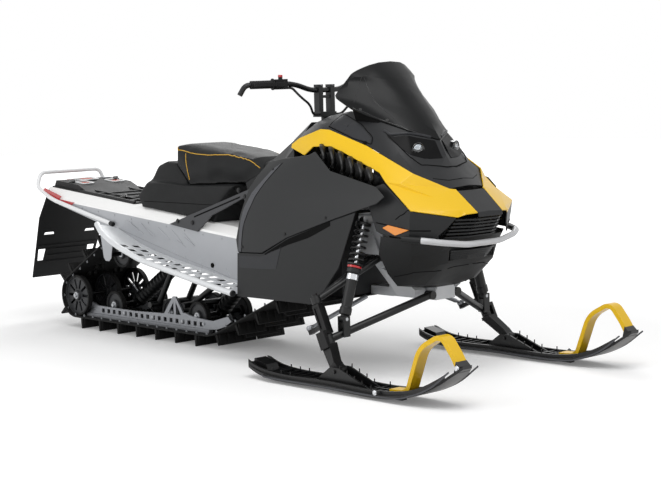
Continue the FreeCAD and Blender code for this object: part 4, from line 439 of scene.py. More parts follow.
def make_finishes(sizes):
    """Every finish of the machine under a short key, named for its material and how it was worked, or for the
    light or shade painted with it.

    The grain of moulded plastic is really under 0.3 mm and is drawn at 1.6 to 2.4 mm, so that it shows.
    """
    matt = {"specular": 0.28}
    return {
        # ABS injection-moulded in yellow and polished: bright and smooth, with a faint orange-peel
        "yellow": finish("glossy_yellow_abs", sizes.stripe_colour, 0.32, coat=0.1, grain=[(NOISE, 9, 0.06)],
                         blotch=0.04, blotch_mm=220, spread=0.04, specular=0.35),
        # Polypropylene moulded in a spark-eroded tool: fine grain, a soft dark sheen
        "charcoal": finish("charcoal_grained_polypropylene", "#18191A", 0.46, grain=[(NOISE, 1.6, 0.12)],
                           blotch=0.10, **matt),
        # The same plastic in large side panels: flat dark grey that drifts over a hand's width
        "panel": finish("side_panel_polypropylene", sizes.panel_colour, 0.44, grain=[(NOISE, 1.8, 0.10)],
                        blotch=0.08, blotch_mm=160, **matt),
        # Painted highlight: the same plastic made paler, a thin grey line of light along the side panels'
        # rear edge and the skis' lower edges
        "edge": finish("painted_highlight_polypropylene", "#46474B", 0.42, grain=[(NOISE, 1.8, 0.10)], blotch=0.10,
                       blotch_mm=90, **matt),
        # Polypropylene moulded with a coarser grain: matt black, no clear reflection
        "black": finish("black_grained_polypropylene", "#101112", 0.5, grain=[(NOISE, 1.6, 0.14)], **matt),
        # Polyethylene, thermoformed for the belly pan: waxy and nearly black
        "belly": finish("belly_pan_polyethylene", "#0E0F10", 0.5, grain=[(NOISE, 2.4, 0.12)], **matt),
        # Polypropylene from a satin tool: dark, with wide soft highlights
        "hood": finish("hood_satin_polypropylene", "#17181A", 0.40, grain=[(NOISE, 2.2, 0.06)], blotch=0.08,
                       **matt),
        # The same plastic a shade lighter: covers that stand off the hood, and on the lower panels a painted
        # lit patch
        "cover": finish("cover_and_painted_light_polypropylene", "#242528", 0.44, grain=[(NOISE, 2.0, 0.08)], blotch=0.08,
                        **matt),
        # Black ABS polished under a clear coat: mirror-dark, with bright narrow highlights; along the
        # windshield's creases the same dark lines are painted shade
        "gloss": finish("polished_black_abs_and_crease_shade", "#070708", 0.14, coat=0.6, blotch=0.05, spread=0.03),
        # Smoked ABS round the lamps: hardly any reflection, dark from every side
        "visor": finish("dark_smoked_abs", "#040405", 0.34, blotch=0.05, specular=0.10),
        # ABS from a half-polished tool: a thin line of light along each vent rib
        "rib": finish("vent_rib_abs", "#0A0A0B", 0.34, blotch=0.05, specular=0.3),
        # Nylon filled with glass fibre and moulded: dull dark grey, a dry grain
        "wheel": finish("glass_filled_nylon", "#2A2B2D", 0.45, grain=[(NOISE, 2.0, 0.12)], specular=0.35),
        # Spring steel, stamped and worn bright by the wheels: small grey glints
        "clip": finish("stamped_clip_steel", "#77797C", 0.4, metallic=0.8),
        # Black plastic in the shade of a joint: a gap that takes the light
        "line": finish("panel_gap_shadow_black", "#050505", 0.8, blotch=0.05, specular=0.1),
        # Aluminium sheet, tumbled and clear-coated, near white above its top edge: light and satin
        "sheet": finish("tumbled_aluminium_sheet", "#A6A8AC", 0.42, metallic=0.3, grain=[(NOISE, 3.5, 0.05)],
                        blotch=0.05, blotch_mm=130, band=("#F2F2F1", (TUNNEL_SLOPE, 0.0, 1.0), WHITE_FROM)),
        # Aluminium tread sheet, anodised clear: bright satin metal
        "board": finish("anodised_board_aluminium", "#D6D8DA", 0.40, metallic=0.45, grain=[(NOISE, 3, 0.05)],
                        blotch=0.06),
        # Aluminium as extruded: darker metal with long soft reflections
        "rail": finish("extruded_aluminium", "#8E9094", 0.38, metallic=0.7, grain=[(NOISE, 2.5, 0.04)],
                       blotch=0.08),
        # Steel tube under white powder coat: smooth, a slight orange-peel
        "white_tube": finish("white_powder_coated_tube", "#E6E7E8", 0.35, grain=[(NOISE, 1.6, 0.05)],
                             blotch=0.04),
        # The same under pale grey powder: as smooth, less bright
        "grey_tube": finish("pale_grey_powder_coated_tube", "#BFC0C2", 0.33, grain=[(NOISE, 1.6, 0.05)],
                            blotch=0.06),
        # The same under black powder: an even satin black
        "black_tube": finish("black_powder_coated_steel", "#0E0F10", 0.40, grain=[(NOISE, 1.8, 0.08)],
                             specular=0.35),
        # Forged aluminium under grey paint: satin with a faint hammered drift
        "strut": finish("grey_forged_aluminium_coat", "#313235", 0.42, metallic=0.2,
                        grain=[(NOISE, 2.4, 0.1)]),
        # Forged aluminium under black paint: nearly black, soft light on its edges
        "forged": finish("black_forged_aluminium_coat", "#0C0C0D", 0.38, metallic=0.2,
                         grain=[(NOISE, 2.4, 0.1)], specular=0.35),
        # Aluminium as sand-cast: pale grey, dull and grainy
        "cast": finish("sand_cast_aluminium", "#C2C4C7", 0.50, metallic=0.2, grain=[(NOISE, 1.8, 0.25)],
                       blotch=0.12),
        # Cast aluminium darkened by heat: rough, hardly metallic
        "engine": finish("dark_cast_engine_metal", "#2A2B2D", 0.55, metallic=0.4, grain=[(NOISE, 2.2, 0.3)]),
        # Steel plated and polished: a sharp mirror
        "chrome": finish("plated_steel", "#D5D7DA", 0.12, metallic=1.0, blotch=0.03),
        # Steel plated with zinc: bright grey in small patches
        "steel": finish("zinc_plated_steel", "#A8AAAD", 0.3, metallic=1.0, blotch=0.1, blotch_mm=12),
        # Spring wire under black epoxy: a thin highlight along each turn
        "spring": finish("black_coated_spring_steel", "#0D0D0E", 0.3, grain=[(NOISE, 2, 0.03)], specular=0.4),
        # Rubber vulcanised round fabric: dull black, fine grain over slow waves
        "rubber": finish("vulcanised_track_rubber", "#0D0D0D", 0.75,
                         grain=[(NOISE, 2.5, 0.3), (NOISE, 14, 0.4)], **matt),
        # Rubber moulded with small cells: dull and pebbled
        "grip": finish("moulded_grip_rubber", "#0D0D0E", 0.7, grain=[(CELLS, 3.0, 0.35)], **matt),
        # Vinyl on a knitted back, embossed like leather: a low sheen broken by the grain
        "vinyl": finish("grained_seat_vinyl", "#0D0E0F", 0.55, grain=[(CELLS, 2.2, 0.16), (NOISE, 24, 0.5)],
                        blotch=0.08, specular=0.22),
        # Vinyl dyed through and folded into piping: a thin warm line
        "piping": finish("yellow_seat_piping", sizes.piping_colour, 0.5),
        # Acrylic sheet, smoked and drawn over a mould: nearly black, broad soft reflections
        "shield": finish("smoked_acrylic", "#0C0D0E", 0.34, grain=[(NOISE, 60, 0.2)], blotch=0.05,
                         blotch_mm=300, spread=0.03, specular=0.16),
        # Acrylic moulded in red: glossy and deep
        "red": finish("red_acrylic_lens", "#B3161B", 0.18, coat=0.5),
        # Nylon moulded in orange: satin tabs that catch the eye
        "orange": finish("orange_anchor_plastic", "#C8461E", 0.4),
        # Acrylic moulded with prisms on its face: bright amber with broken glints
        "amber": finish("amber_prismatic_lens", "#E0850F", 0.2, coat=0.5, grain=[(CELLS, 3.0, 0.5)]),
        # Dense polyethylene polished by snow: black with smooth highlights
        "gloss_plastic": finish("polished_ski_polyethylene", "#0C0C0D", 0.34, blotch=0.08, spread=0.06,
                                specular=0.45),
        # Clear moulded polycarbonate: glassy, sharp reflections
        "lens": finish("clear_polycarbonate_lens", "#E8ECEF", 0.04, ior=1.58, transmission=0.95, blotch=0.02,
                       spread=0.02),
    }


FINISH = {}

# Outward directions on the right side
SIDE, TOP, NOSE, SHIELD_OUT = (0, -1, 0), (0, -0.7, 0.7), (0.9, -0.3, 0.5), (0.5, -0.8, 0.3)
UP = (0, 0, 1)
LEVEL = np.array([0, 0, 1.0])
ACROSS = np.array([0, 1.0, 0])

# Machine data shared with the CAD source, in millimetres: wheels that carry the belt as (x, z, radius),
# the belt's wall, the lugs' height and half the track's width
WHEELS = np.array([[-1203.9, 159.0, 100.0], [-225.0, 329.0, 270.0], [303.0, 360.0, 82.0],
                   [-900.0, 378.0, 67.0]])
BELT, LUG, TRACK_HALF = 8.0, 51.0, 203.0
# Paddles as (first row, from, to), every second row; drive lugs and guide clips inside by their places across
LUG_SPANS = ((0, -197, -35), (0, 35, 197), (1, -95, 95))
DRIVE_LUGS, GUIDE_CLIPS = (-95, 95, -60, 60), (-195, 192)
SHOCK_TOP, SHOCK_FOOT = (904, -286, 640), (904, -418, 240)
# Rear, upper and lower wheels as (x, z, radius, places across)
WHEEL_PLACES = [(-1203.9, 159, 99.7, (-175, 0, 175)), (-900, 378, 66.7, (-120, 120))]
WHEEL_PLACES += [(x, 125, 65.7, (-125, 125)) for x in (-331, -525, -963)]
# Vent ribs as (x, z, height), then the windshield's foot and the creases pressed into the tunnel's side
LOUVRES = ((672, 856, 44), (724, 838, 52), (776, 815, 58), (828, 802, 52), (880, 790, 44), (930, 778, 36))
SHIELD_FOOT = [(1048, 0, 929.3), (1012, -54.5, 950.1), (976, -109, 970.8), (929.5, -134.5, 989.3),
               (883, -160, 1007.8), (825.5, -182, 1029.9), (768, -204, 1052)]
TUNNEL_CREASES = ([(-1050, -215, 560), (-782, -215, 506), (-591, -215, 461), (-436, -215, 426),
                   (-286, -215, 392), (-141, -215, 364), (1, -215, 331)],
                  [(-310, -215, 408), (-285, -215, 378)], [(-212, -215, 419), (-188, -215, 368)],
                  [(-400, -215, 440), (-372, -215, 405)], [(-26, -215, 372), (-8, -215, 340)],
                  [(-360, -215, 478), (-300, -215, 448)], [(-305, -215, 494), (-240, -215, 462)],
                  [(-620, -215, 540), (-540, -215, 486)], [(-700, -215, 548), (-640, -215, 506)])

# Chassis details on the right side: the sliders under the rails, tube ends as (from, to, radius), bolts
RAIL_SLIDER = (-1158, -159, 59.6), (-229, -141, 75)
RAIL_BOLTS = [(x, -155, 97) for x in (-1112, -860, -640, -420, -268)]
TUBE_ENDS = (((-828, -225.3, 528.2), (-852, -225.3, 532.9), 10.9),
             ((1127.2, -315.9, 568.1), (1192, -277, 561.4), 12.9),
             ((236, -400, 299.6), (226, -400, 301.2), 13.6))
TUNNEL_RIVETS = [(x, -215.2, 612 - TUNNEL_SLOPE * (x + 1132) - 14) for x in range(-1090, 200, 130)]
GROMMET = (-118, -215.1, 379)
STRUT_SLOT = [(-225, -224.4, 585.5), (90, -224.4, 683.5), (92, -224.4, 690.5), (-223, -224.4, 592.5)]
STRUT_BOLTS = [(-340, -224.4, 565), (-236, -224.4, 563), (124, -224.4, 690), (84, -224.4, 716)]

# Deck details: its upward direction and a height above it, anchors, hand loops as (x, y, half width), cap
DECK_UP, OVER_DECK = (-0.0942, 0, 0.9956), 720
ANCHORS = [(x, y, 700 + (x + 1275) * -0.094) for x in (-1275, -855) for y in (-130, 130)]
HAND_LOOPS = ((-1352, 0, 52), (-1236, -92, 34), (-1236, 92, 34))
DECK_CAP = (-1345, 118, OVER_DECK)
SIDE_LENS = [(-1414, -215.4, 672), (-1396, -215.4, 684), (-1256, -215.4, 646), (-1284, -215.4, 626)]
FLAP_BOLTS, FLAP_OUT = [(-1431, y, 674) for y in (-150, -50, 50, 150)], (-0.93, 0, 0.36)

# Lathe profiles: (along, radius) pairs
HUB = [(14, 17), (17.5, 17), (17.5, 12), (20, 12), (20, 9.5), (26, 9.2)]
GROMMET_PROFILE = [(0, 11), (2.5, 11), (3.5, 8.5), (3.5, 4), (1.5, 3.5)]
ANCHOR = [(0, 19), (5, 19), (7, 15), (14, 13.5), (16, 11), (16, 5), (12, 4.5)]
CAP = [(0, 20), (4, 20), (6, 17), (6, 11), (4, 10), (4, 1)]
LAMP_HOUSING = [(-39.9, 26.8), (20, 26.8), (26, 29.5), (28, 28), (26, 24), (8, 20), (6, 1)]
PROJECTOR = [(9, 19), (12, 20), (14, 22.5), (17, 22.5), (18, 17), (22, 11), (24, 5), (24.5, 0.5)]
LAMP_LENS = [(23, 24), (26, 23), (30, 17), (32, 9), (32.6, 0.6)]
BUTTON = [(-7, 9.8), (1, 9.8), (3, 8), (3, 0.5)]

# Lines on the right side of the body: node, outward direction, radius, points
BODY_LINES = (
    ("hood", NOSE, 2.0, [(904, -171, 969), (930, -168, 952), (971, -123, 956), (990, -92, 953),
                         (1032, -23, 938), (1036, 0, 936)]),
    ("hood", NOSE, 2.2, [(904, -173, 966), (976, -167, 911), (1027, -159, 870), (1065, -132, 839),
                         (1105, -29, 826), (1107, 0, 826)]),
    ("hood", TOP, 1.9, [(651, -224, 988), (653, -149, 1035), (799, -182, 996), (882, -206, 940),
                        (885, -217, 914), (789, -224, 940), (651, -224, 988)]),
    ("hood", TOP, 1.1, [(733, -219, 968), (749, -182, 1009)]),
    ("hood", NOSE, 1.4, [(1120, -128, 789), (1150, -70, 780), (1158, 0, 782)]),
    ("front_cowls", SIDE, 1.8, [(1079, -296, 637), (1152, -298, 682)]),
    ("front_cowls", SIDE, 2.4, [(990, -308, 623), (1153, -290, 597), (1202, -219, 594)]),
    ("belly_pan", SIDE, 1.6, [(1020, -240, 405), (1100, -215, 420), (1142, -158, 427), (1184, -76, 443),
                              (1196, 0, 446)]),
    ("side_panels", SIDE, 1.0, [(476, -318, 852), (404, -361, 767), (347, -392, 667), (306, -395, 593),
                                (291, -396, 476)]),
)

# Plates on the right side of the body: name, node, finish, outward direction, upper line, lower line
BODY_PLATES = (
    ("glove_covers", "hood", "cover", TOP,
     [(657, -158, 1029), (725, -170, 1013), (799, -188, 991), (876, -209, 936)],
     [(657, -221, 988), (720, -221, 966), (789, -221, 942), (878, -215, 917)]),
    # A paler strip on the facets of the side panels' rear edge: a painted highlight
    ("side_panel_painted_highlights", "side_panels", "edge", SIDE,
     [(431, -326, 826), (353, -369, 739), (304, -384, 665), (282, -393, 591), (272, -397, 480)],
     [(468, -321, 850), (402, -361, 767), (345, -392, 667), (304, -395, 593), (289, -396, 480)]),
    # A lighter patch on the lower panels' face: painted light where that face catches the lamps
    ("lower_panel_painted_light_patches", "lower_panels", "cover", SIDE,
     [(272, -395, 462), (421, -398, 466), (536, -395, 516)],
     [(272, -394, 412), (400, -394, 414), (500, -395, 420)]),
    ("split_shadows", "lower_panels", "line", SIDE,
     [(436, -397, 479), (572, -394, 545), (690, -389, 586), (808, -382, 625)],
     [(440, -397, 474), (572, -394, 522), (690, -389, 556), (808, -382, 608)]),
)

# More trim on the right side of the body
# A black band in the split between the side and lower panels: painted shade in the groove
SPLIT_SHADE = [(268, -389, 470), (418, -391, 474), (572, -391, 551), (811, -379, 629)]
SPLIT_SHADE_SECTION = np.array([(-2, -16), (2, -16), (2, 16), (-2, 16)])
BROW = [(900, -174, 972), (930, -168, 958), (971, -125, 961), (990, -93, 958), (1024, -30, 944)]
SCREENS = (((1172, -140, 556), (1176, 140, 640)), ((1150, -124, 462), (1154, 124, 520)))
LATCH = [(843, -226, 930), (857, -221, 930)], [(846, -229, 918), (860, -224, 918)]
PANEL_SCREWS = [(300, -392, 500), (560, -392, 566), (786, -384, 640), (430, -330, 822)]
VENT_BACK = [(655, -266, 820), (640, -266, 880), (720, -266, 892), (990, -266, 790), (990, -266, 745)]
LAMP_CENTRE, LAMP_AIM = np.array((1006, -104, 896.0)), np.array((1, -0.25, -0.1))
VISOR_TOP = [(914, -175, 960), (944, -158, 948), (977, -120, 950), (1004, -80, 940), (1040, -22, 930)]
VISOR_FOOT = [(925, -177, 944), (984, -166, 904), (1022, -148, 872), (1058, -96, 860), (1076, -22, 858)]
SHIELD_CREASES = ([(774, -151, 1184), (776, -207, 1080)],
                  [(780, -145, 1179), (841, -147, 1086), (927, -125, 1011)],
                  [(1012, -54.5, 956), (976, -109, 977), (883, -160, 1014), (768, -204, 1058)])
SHIELD_SCREWS = [(800, -190, 1052), (905, -148, 1012)]

# Seams of the seat, and the pads as node, name, voxel size, how far each is shrunk first, share of the swell
PADS = (("seat_cushion", "seat_pad", 6.0, 5.0, 1.0), ("seat_base", "seat_base_pad", 8.0, 3.0, 0.5))
PIPING_TOP = [(-446, -60, 884), (-420, -150, 884), (-365, -160, 883), (-293, -165, 868), (-131, -165, 870),
              (-5, -140, 854), (101, -115, 804)]
PIPING_REAR = [(-352, -160, 870), (-332, -160, 803), (-325, -158, 746)]
BASE_SEAM = [(-640, -150, 640), (-330, -168, 640), (-60, -168, 640)]
PRESSURE, SWELL_STEPS, AVERAGES = 4.0, 20, 36

# Ski details: the line of a painted highlight along the skis' lower edges as (x, z), its two sides, pins,
# bolts and the bracket of the hand loop
SKI_LINE = ((600, 20), (650, 14), (960, 14), (1290, 14), (1400, 34), (1500, 76), (1590, 142))
SKI_SIDES = (-578.3, -421.7)
EDGE_SECTION = np.array([(-1.2, -3), (1.2, -3), (1.2, 3), (-1.2, 3)])
SKI_PINS = [(x, y, 80) for x in (640, 690, 740, 1000, 1045, 1090, 1135, 1180) for y in (-548, -452)]
LOOP_BRACKET = [(1566, -529, 128), (1596, -529, 138), (1598, -529, 160), (1578, -529, 178)]
CLAMP_BOLTS = [(x, y, 1153) for x in (382, 410) for y in (-34, 34)]

# Stage in metres: the camera by its angles in degrees (azimuth, elevation, roll), its place, lens and shift,
# and lamps as (name, place, aim, width, watts)
CAMERA_ANGLES, CAMERA_PLACE = (46.300, 5.563, -1.493), (5.26649, -4.66093, 1.15379)
CAMERA_LENS, CAMERA_SHIFT = 86.77, (0.0052, 0.0007)
FLOOR_HALF, FLOOR_LOW = 20, -0.001
# The floor's glow by distance from the middle: (from, to), and its strength there
GLOW_REACH, GLOW = (1.8, 5.0), (0.14, 0.95)
LAMPS = (("key", (2.6, -1.6, 4.2), (0.3, 0, 0.4), 3.0, 118),
         ("side", (-1.0, -5.0, 2.2), (0.0, 0, 0.5), 3.0, 62),
         ("rim", (-2.5, 3.0, 3.6), (0.2, 0, 0.7), 2.5, 72))


def belt_line(offset, count):
    """The closed line round the wheels at an offset: an arc on each, straights between, at even distances."""
    centres, radii = WHEELS[:, :2], WHEELS[:, 2] + offset
    step = np.roll(centres, -1, 0) - centres
    lean = np.arctan2(step[:, 1], step[:, 0]) - np.arccos((radii - np.roll(radii, -1)) / np.hypot(*step.T))
    start = np.roll(lean, 1)
    turn = (start[:, None] + ((lean - start) % (2 * math.pi))[:, None] * np.linspace(0, 1, 60))
    arcs = centres[:, None] + radii[:, None, None] * np.stack([np.cos(turn), np.sin(turn)], -1)
    line = arcs.reshape(-1, 2)
    line = np.vstack([line, line[:1]])
    length = np.concatenate([[0], np.cumsum(np.hypot(*np.diff(line, axis=0).T))])
    place = (np.arange(count) + 0.5) / count * length[-1]
    x, z = np.interp(place, length, line[:, 0]), np.interp(place, length, line[:, 1])
    near = np.interp(place + 1, length, line[:, 0]) - x, np.interp(place + 1, length, line[:, 1]) - z
    run = np.stack([near[0], np.zeros(count), near[1]], -1)
    run /= np.linalg.norm(run, axis=1)[:, None]
    out = np.stack([run[:, 2], np.zeros(count), -run[:, 0]], -1)
    return np.stack([x, np.zeros(count), z], -1) * MM, run, out


class SnowmobileSizes(bpy.types.PropertyGroup):
    """Sizes and colours that a user may change"""
    lug_rows: bpy.props.IntProperty(
        name="Lug rows", description="Rows of lugs round the track", default=51, min=10)
    spring_turns: bpy.props.FloatProperty(
        name="Spring turns", description="Turns of each front spring", default=6.5)
    spring_wire: bpy.props.FloatProperty(
        name="Spring wire", description="Wire radius of the front springs", default=0.0050, unit="LENGTH")
    seat_swell: bpy.props.FloatProperty(
        name="Seat swell", description="Most that the seat cover may swell", default=0.010, unit="LENGTH")
    stripe_colour: bpy.props.FloatVectorProperty(
        name="Stripe colour", description="Yellow of the hood stripes and ski loops", subtype="COLOR",
        default=tone("#E1B50A")[:3])
    panel_colour: bpy.props.FloatVectorProperty(
        name="Panel colour", description="Dark grey of the side panels", subtype="COLOR",
        default=tone("#1E1F20")[:3])
    piping_colour: bpy.props.FloatVectorProperty(
        name="Piping colour", description="Yellow of the seat's piping", subtype="COLOR",
        default=tone("#C99A22")[:3])


class SNOW_OT_stage(bpy.types.Operator):
    """Pale floor, soft lamps and the photograph's camera"""
    bl_idname = "snow.stage"
    bl_label = "Stage"

    def execute(self, context):
        scene = context.scene
        scene.view_settings.view_transform = "Standard"
        azimuth, elevation, roll = (math.radians(value) for value in CAMERA_ANGLES)
        back = Vector((math.sin(azimuth) * math.cos(elevation), -math.cos(azimuth) * math.cos(elevation),
                       math.sin(elevation)))
        right = Vector((math.cos(azimuth), math.sin(azimuth), 0))
        up = back.cross(right)
        level = right * math.cos(roll) + up * math.sin(roll)
        rise = up * math.cos(roll) - right * math.sin(roll)
        data = bpy.data.cameras.new("photograph")
        data.sensor_width = 36.0
        data.lens = CAMERA_LENS
        data.shift_x, data.shift_y = CAMERA_SHIFT
        camera = bpy.data.objects.new("photograph", data)
        camera.matrix_world = Matrix((level, rise, back)).transposed().to_4x4()
        camera.location = CAMERA_PLACE
        scene.collection.objects.link(camera)
        scene.camera = camera
        self.floor(scene)
        self.lamps(scene)
        return {"FINISHED"}

    def floor(self, scene):
        """A plain matt white floor, with a glow that grows far from the object, for seen rays alone."""
        mesh = bpy.data.meshes.new("floor")
        half, low = FLOOR_HALF, FLOOR_LOW
        mesh.from_pydata([(-half, -half, low), (half, -half, low), (half, half, low), (-half, half, low)], [],
                         [(0, 1, 2, 3)])
        floor = bpy.data.objects.new("floor", mesh)
        scene.collection.objects.link(floor)
        material = bpy.data.materials.new("matt_white_floor")
        material.use_nodes = True
        tree = material.node_tree
        shader = tree.nodes["Principled BSDF"]
        shader.inputs["Base Color"].default_value = tone("#F4F4F4")
        shader.inputs["Roughness"].default_value = 0.9
        shader.inputs["Specular IOR Level"].default_value = 0.1
        shader.inputs["Emission Color"].default_value = (1, 1, 1, 1)
        place = add(tree, "ShaderNodeTexCoord").outputs["Object"]
        away = add(tree, "ShaderNodeVectorMath", {0: place}, operation="LENGTH").outputs["Value"]
        glow = add(tree, "ShaderNodeMapRange", {"Value": away, "From Min": GLOW_REACH[0],
                                                "From Max": GLOW_REACH[1], "To Min": GLOW[0],
                                                "To Max": GLOW[1]}).outputs["Result"]
        strength = add(tree, "ShaderNodeMath", {0: glow, 1: self.seen(tree)}, operation="MULTIPLY").outputs[0]
        tree.links.new(strength, shader.inputs["Emission Strength"])
        mesh.materials.append(material)
        world = bpy.data.worlds.new("pale_surround")
        scene.world = world
        world.use_nodes = True
        tree = world.node_tree
        strength = add(tree, "ShaderNodeMapRange", {"Value": self.seen(tree), "To Min": 0.5, "To Max": 1.0})
        ground = tree.nodes["Background"]
        ground.inputs["Color"].default_value = (1, 1, 1, 1)
        tree.links.new(strength.outputs["Result"], ground.inputs["Strength"])

    def seen(self, tree):
        """1 for camera, glossy and transmission rays, 0 for the rest."""
        path = add(tree, "ShaderNodeLightPath").outputs
        first = add(tree, "ShaderNodeMath", {0: path["Is Camera Ray"], 1: path["Is Glossy Ray"]},
                    operation="MAXIMUM").outputs[0]
        return add(tree, "ShaderNodeMath", {0: first, 1: path["Is Transmission Ray"]},
                   operation="MAXIMUM").outputs[0]

    def lamps(self, scene):
        """Three large soft lamps: above in front, from the right side, and a rim behind."""
        for name, place, aim, wide, power in LAMPS:
            data = bpy.data.lights.new(name, "AREA")
            data.size = wide
            data.energy = power
            lamp = bpy.data.objects.new(name, data)
            lamp.location = place
            lamp.rotation_euler = (Vector(aim) - Vector(place)).to_track_quat("-Z", "Y").to_euler()
            scene.collection.objects.link(lamp)


class SNOW_OT_track(bpy.types.Operator):
    """Rubber track with ribbed paddles, drive lugs and guide clips"""
    bl_idname = "snow.track"
    bl_label = "Track"

    def execute(self, context):
        """Belt: a flat section carried along the loop. Paddles: one block with buttresses at each row."""
        half, bend = TRACK_HALF * MM, 0.003
        wall = BELT / 2 * MM
        line, _, out = belt_line(BELT / 2, 420)
        section = np.array([[-half, -wall], [-half + bend, -wall], [half - bend, -wall], [half, -wall / 2],
                            [half, wall / 2], [half - bend, wall], [-half + bend, wall], [-half, wall / 2]])
        grid = line[:, None] + ACROSS * section[None, :, :1] + out[:, None] * section[None, :, 1:]
        rows = context.scene.snowmobile.lug_rows
        base, ahead, outward = belt_line(BELT, rows)
        forms = [grid_form(grid, wrap_rows=True, wrap_columns=True)]
        for start, low, high in LUG_SPANS:
            chosen = slice(start, rows, 2)
            forms.append(stamped(paddle(low, high), base[chosen], ahead[chosen], outward[chosen]))
        inner = belt_line(0, rows)
        for y in DRIVE_LUGS:
            tooth = [(-12, y - 8, 1), (12, y - 8, 1), (5, y - 5, -18), (-5, y - 5, -18)]
            forms.append(stamped(slab_form(tooth, (0, 16, 0)), *inner))
        piece("track_belt", merged(*forms), "rubber", stands_for=("track",))
        clips = [stamped(slab_form([(-8, y, 0.5), (8, y, 0.5), (2, y, -12), (-2, y, -12)], (0, 3, 0)), *inner)
                 for y in GUIDE_CLIPS]
        piece("track_clips", merged(*clips), "clip")
        return {"FINISHED"}


def paddle(low, high):
    """A paddle from low to high across: a tapered wall with buttresses and a notched crest."""
    forms = [slab_form([(-8, low, -2), (8, low, -2), (4, low, LUG), (-4, low, LUG)], (0, high - low, 0))]
    crest = LUG - 6
    for y in np.linspace(low + 12, high - 12, max(3, int((high - low) / 38))) - 5:
        forms.append(slab_form([(-17, y, -2), (17, y, -2), (5, y, crest), (-5, y, crest)], (0, 10, 0)))
    return merged(*forms)


class SNOW_OT_undercarriage(bpy.types.Operator):
    """Rails with their sliders, wheels with rubber rims, axles and the rear arms"""
    bl_idname = "snow.undercarriage"
    bl_label = "Undercarriage"

    def execute(self, context):
        for name, coat, bevel in (("slide_rails", "rail", 0.8), ("idler_wheels", "wheel", 0.8),
                                  ("rear_suspension", "black_tube", 0), ("drive_axle", "black", 0.8)):
            dressed(name, coat, bevel)
        piece("rail_sliders", both(box_form(*RAIL_SLIDER)), "black", bevel=1.0)
        rims, hubs = [], []
        for x, z, radius, places in WHEEL_PLACES:
            foot, crown, half = radius - 9, radius + 0.3, 12.4
            for y in places:
                rims.append(turned([(-half, foot), (-half, crown), (half, crown), (half, foot)], (x, y, z),
                                   (0, 1, 0), 48, ring=True))
                if y < 0:
                    hubs.append(turned(HUB, (x, y, z), SIDE, 18))
        piece("wheel_rims", merged(*rims), "rubber", bevel=0.8)
        piece("wheel_hub_bolts", both(*hubs), "steel", bevel=0.5)
        piece("rail_bolts", both(bolts(RAIL_BOLTS, SIDE, 7, 5)), "steel")
        return {"FINISHED"}


class SNOW_OT_chassis(bpy.types.Operator):
    """Tunnel, running boards, bumpers, struts, bulkhead and engine"""
    bl_idname = "snow.chassis"
    bl_label = "Chassis"

    def execute(self, context):
        for name, coat, bevel in (("tunnel", "sheet", 1.0), ("running_boards", "board", 0.6),
                                  ("rear_bumper", "white_tube", 0), ("front_bumper", "grey_tube", 0),
                                  ("frame_struts", "strut", 1.2), ("bulkhead", "cast", 2.0),
                                  ("engine", "engine", 3.0)):
            dressed(name, coat, bevel)
        piece("tube_ends", both(*(rod(*end) for end in TUBE_ENDS)), "black", bevel=0.8)
        lines = [seam("tunnel", points, SIDE, 1.0) for points in TUNNEL_CREASES]
        piece("tunnel_creases", both(*lines), "rail")
        piece("tunnel_rivets", both(bolts(TUNNEL_RIVETS, SIDE, 3.2, 2.2)), "steel")
        grommet = turned(GROMMET_PROFILE, GROMMET, SIDE, 20)
        piece("strut_slots", both(grommet, slab_form(STRUT_SLOT, (0, -0.7, 0))), "line")
        piece("strut_bolts", both(bolts(STRUT_BOLTS, SIDE, 8.5, 6)), "black_tube", bevel=0.6)
        return {"FINISHED"}


class SNOW_OT_cargo(bpy.types.Operator):
    """Cargo deck with its anchors and handles, snow flap and tail lamps"""
    bl_idname = "snow.cargo"
    bl_label = "Cargo deck"

    def execute(self, context):
        for name, coat, bevel in (("cargo_deck", "black", 1.5), ("snow_flap", "black", 1.0),
                                  ("tail_lamps", "red", 0.8)):
            dressed(name, coat, bevel)
        knobs = [turned(ANCHOR, place, DECK_UP, 24) for place in draped("cargo_deck", ANCHORS, UP) / MM]
        piece("deck_anchors", merged(*knobs), "gloss", bevel=0.8)
        loops, tabs = [], []
        for x, y, across in HAND_LOOPS:
            inner = across - 7
            ring = ((-34, -across), (34, -across), (40, -inner), (40, inner), (34, across), (-34, across),
                    (-40, inner), (-40, -inner))
            spots = draped("cargo_deck", [(x + a, y + b, OVER_DECK) for a, b in ring], UP, 3.0)
            loops.append(tube_ring(spots, 3.6))
            centre = draped("cargo_deck", [(x, y, OVER_DECK)], UP)[0] / MM
            half = across * 0.55
            tabs.append(box_form(centre + (-16, -half, -0.5), centre + (16, half, 3.5)))
        piece("deck_handles", merged(*loops), "white_tube")
        piece("deck_tabs", merged(*tabs), "orange", bevel=1.0)
        cap = draped("cargo_deck", [DECK_CAP], UP)[0] / MM
        piece("deck_cap", turned(CAP, cap, DECK_UP, 28), "steel", bevel=0.6)
        piece("side_tail_lenses", both(slab_form(SIDE_LENS, (0, -3.5, 0))), "red", bevel=1.0)
        piece("flap_bolts", bolts(FLAP_BOLTS, FLAP_OUT, 7, 5), "steel")
        return {"FINISHED"}


def tube_ring(points, radius):
    """A closed round bar through points in metres."""
    points = np.asarray(points, float)
    tangent = np.roll(points, -1, 0) - np.roll(points, 1, 0)
    tangent /= np.linalg.norm(tangent, axis=1)[:, None]
    side = np.cross(LEVEL, tangent)
    rise = np.cross(tangent, side)
    ring = circle(radius * MM, 10)
    grid = points[:, None] + side[:, None] * ring[None, :, :1] + rise[:, None] * ring[None, :, 1:]
    return grid_form(grid, wrap_rows=True, wrap_columns=True)


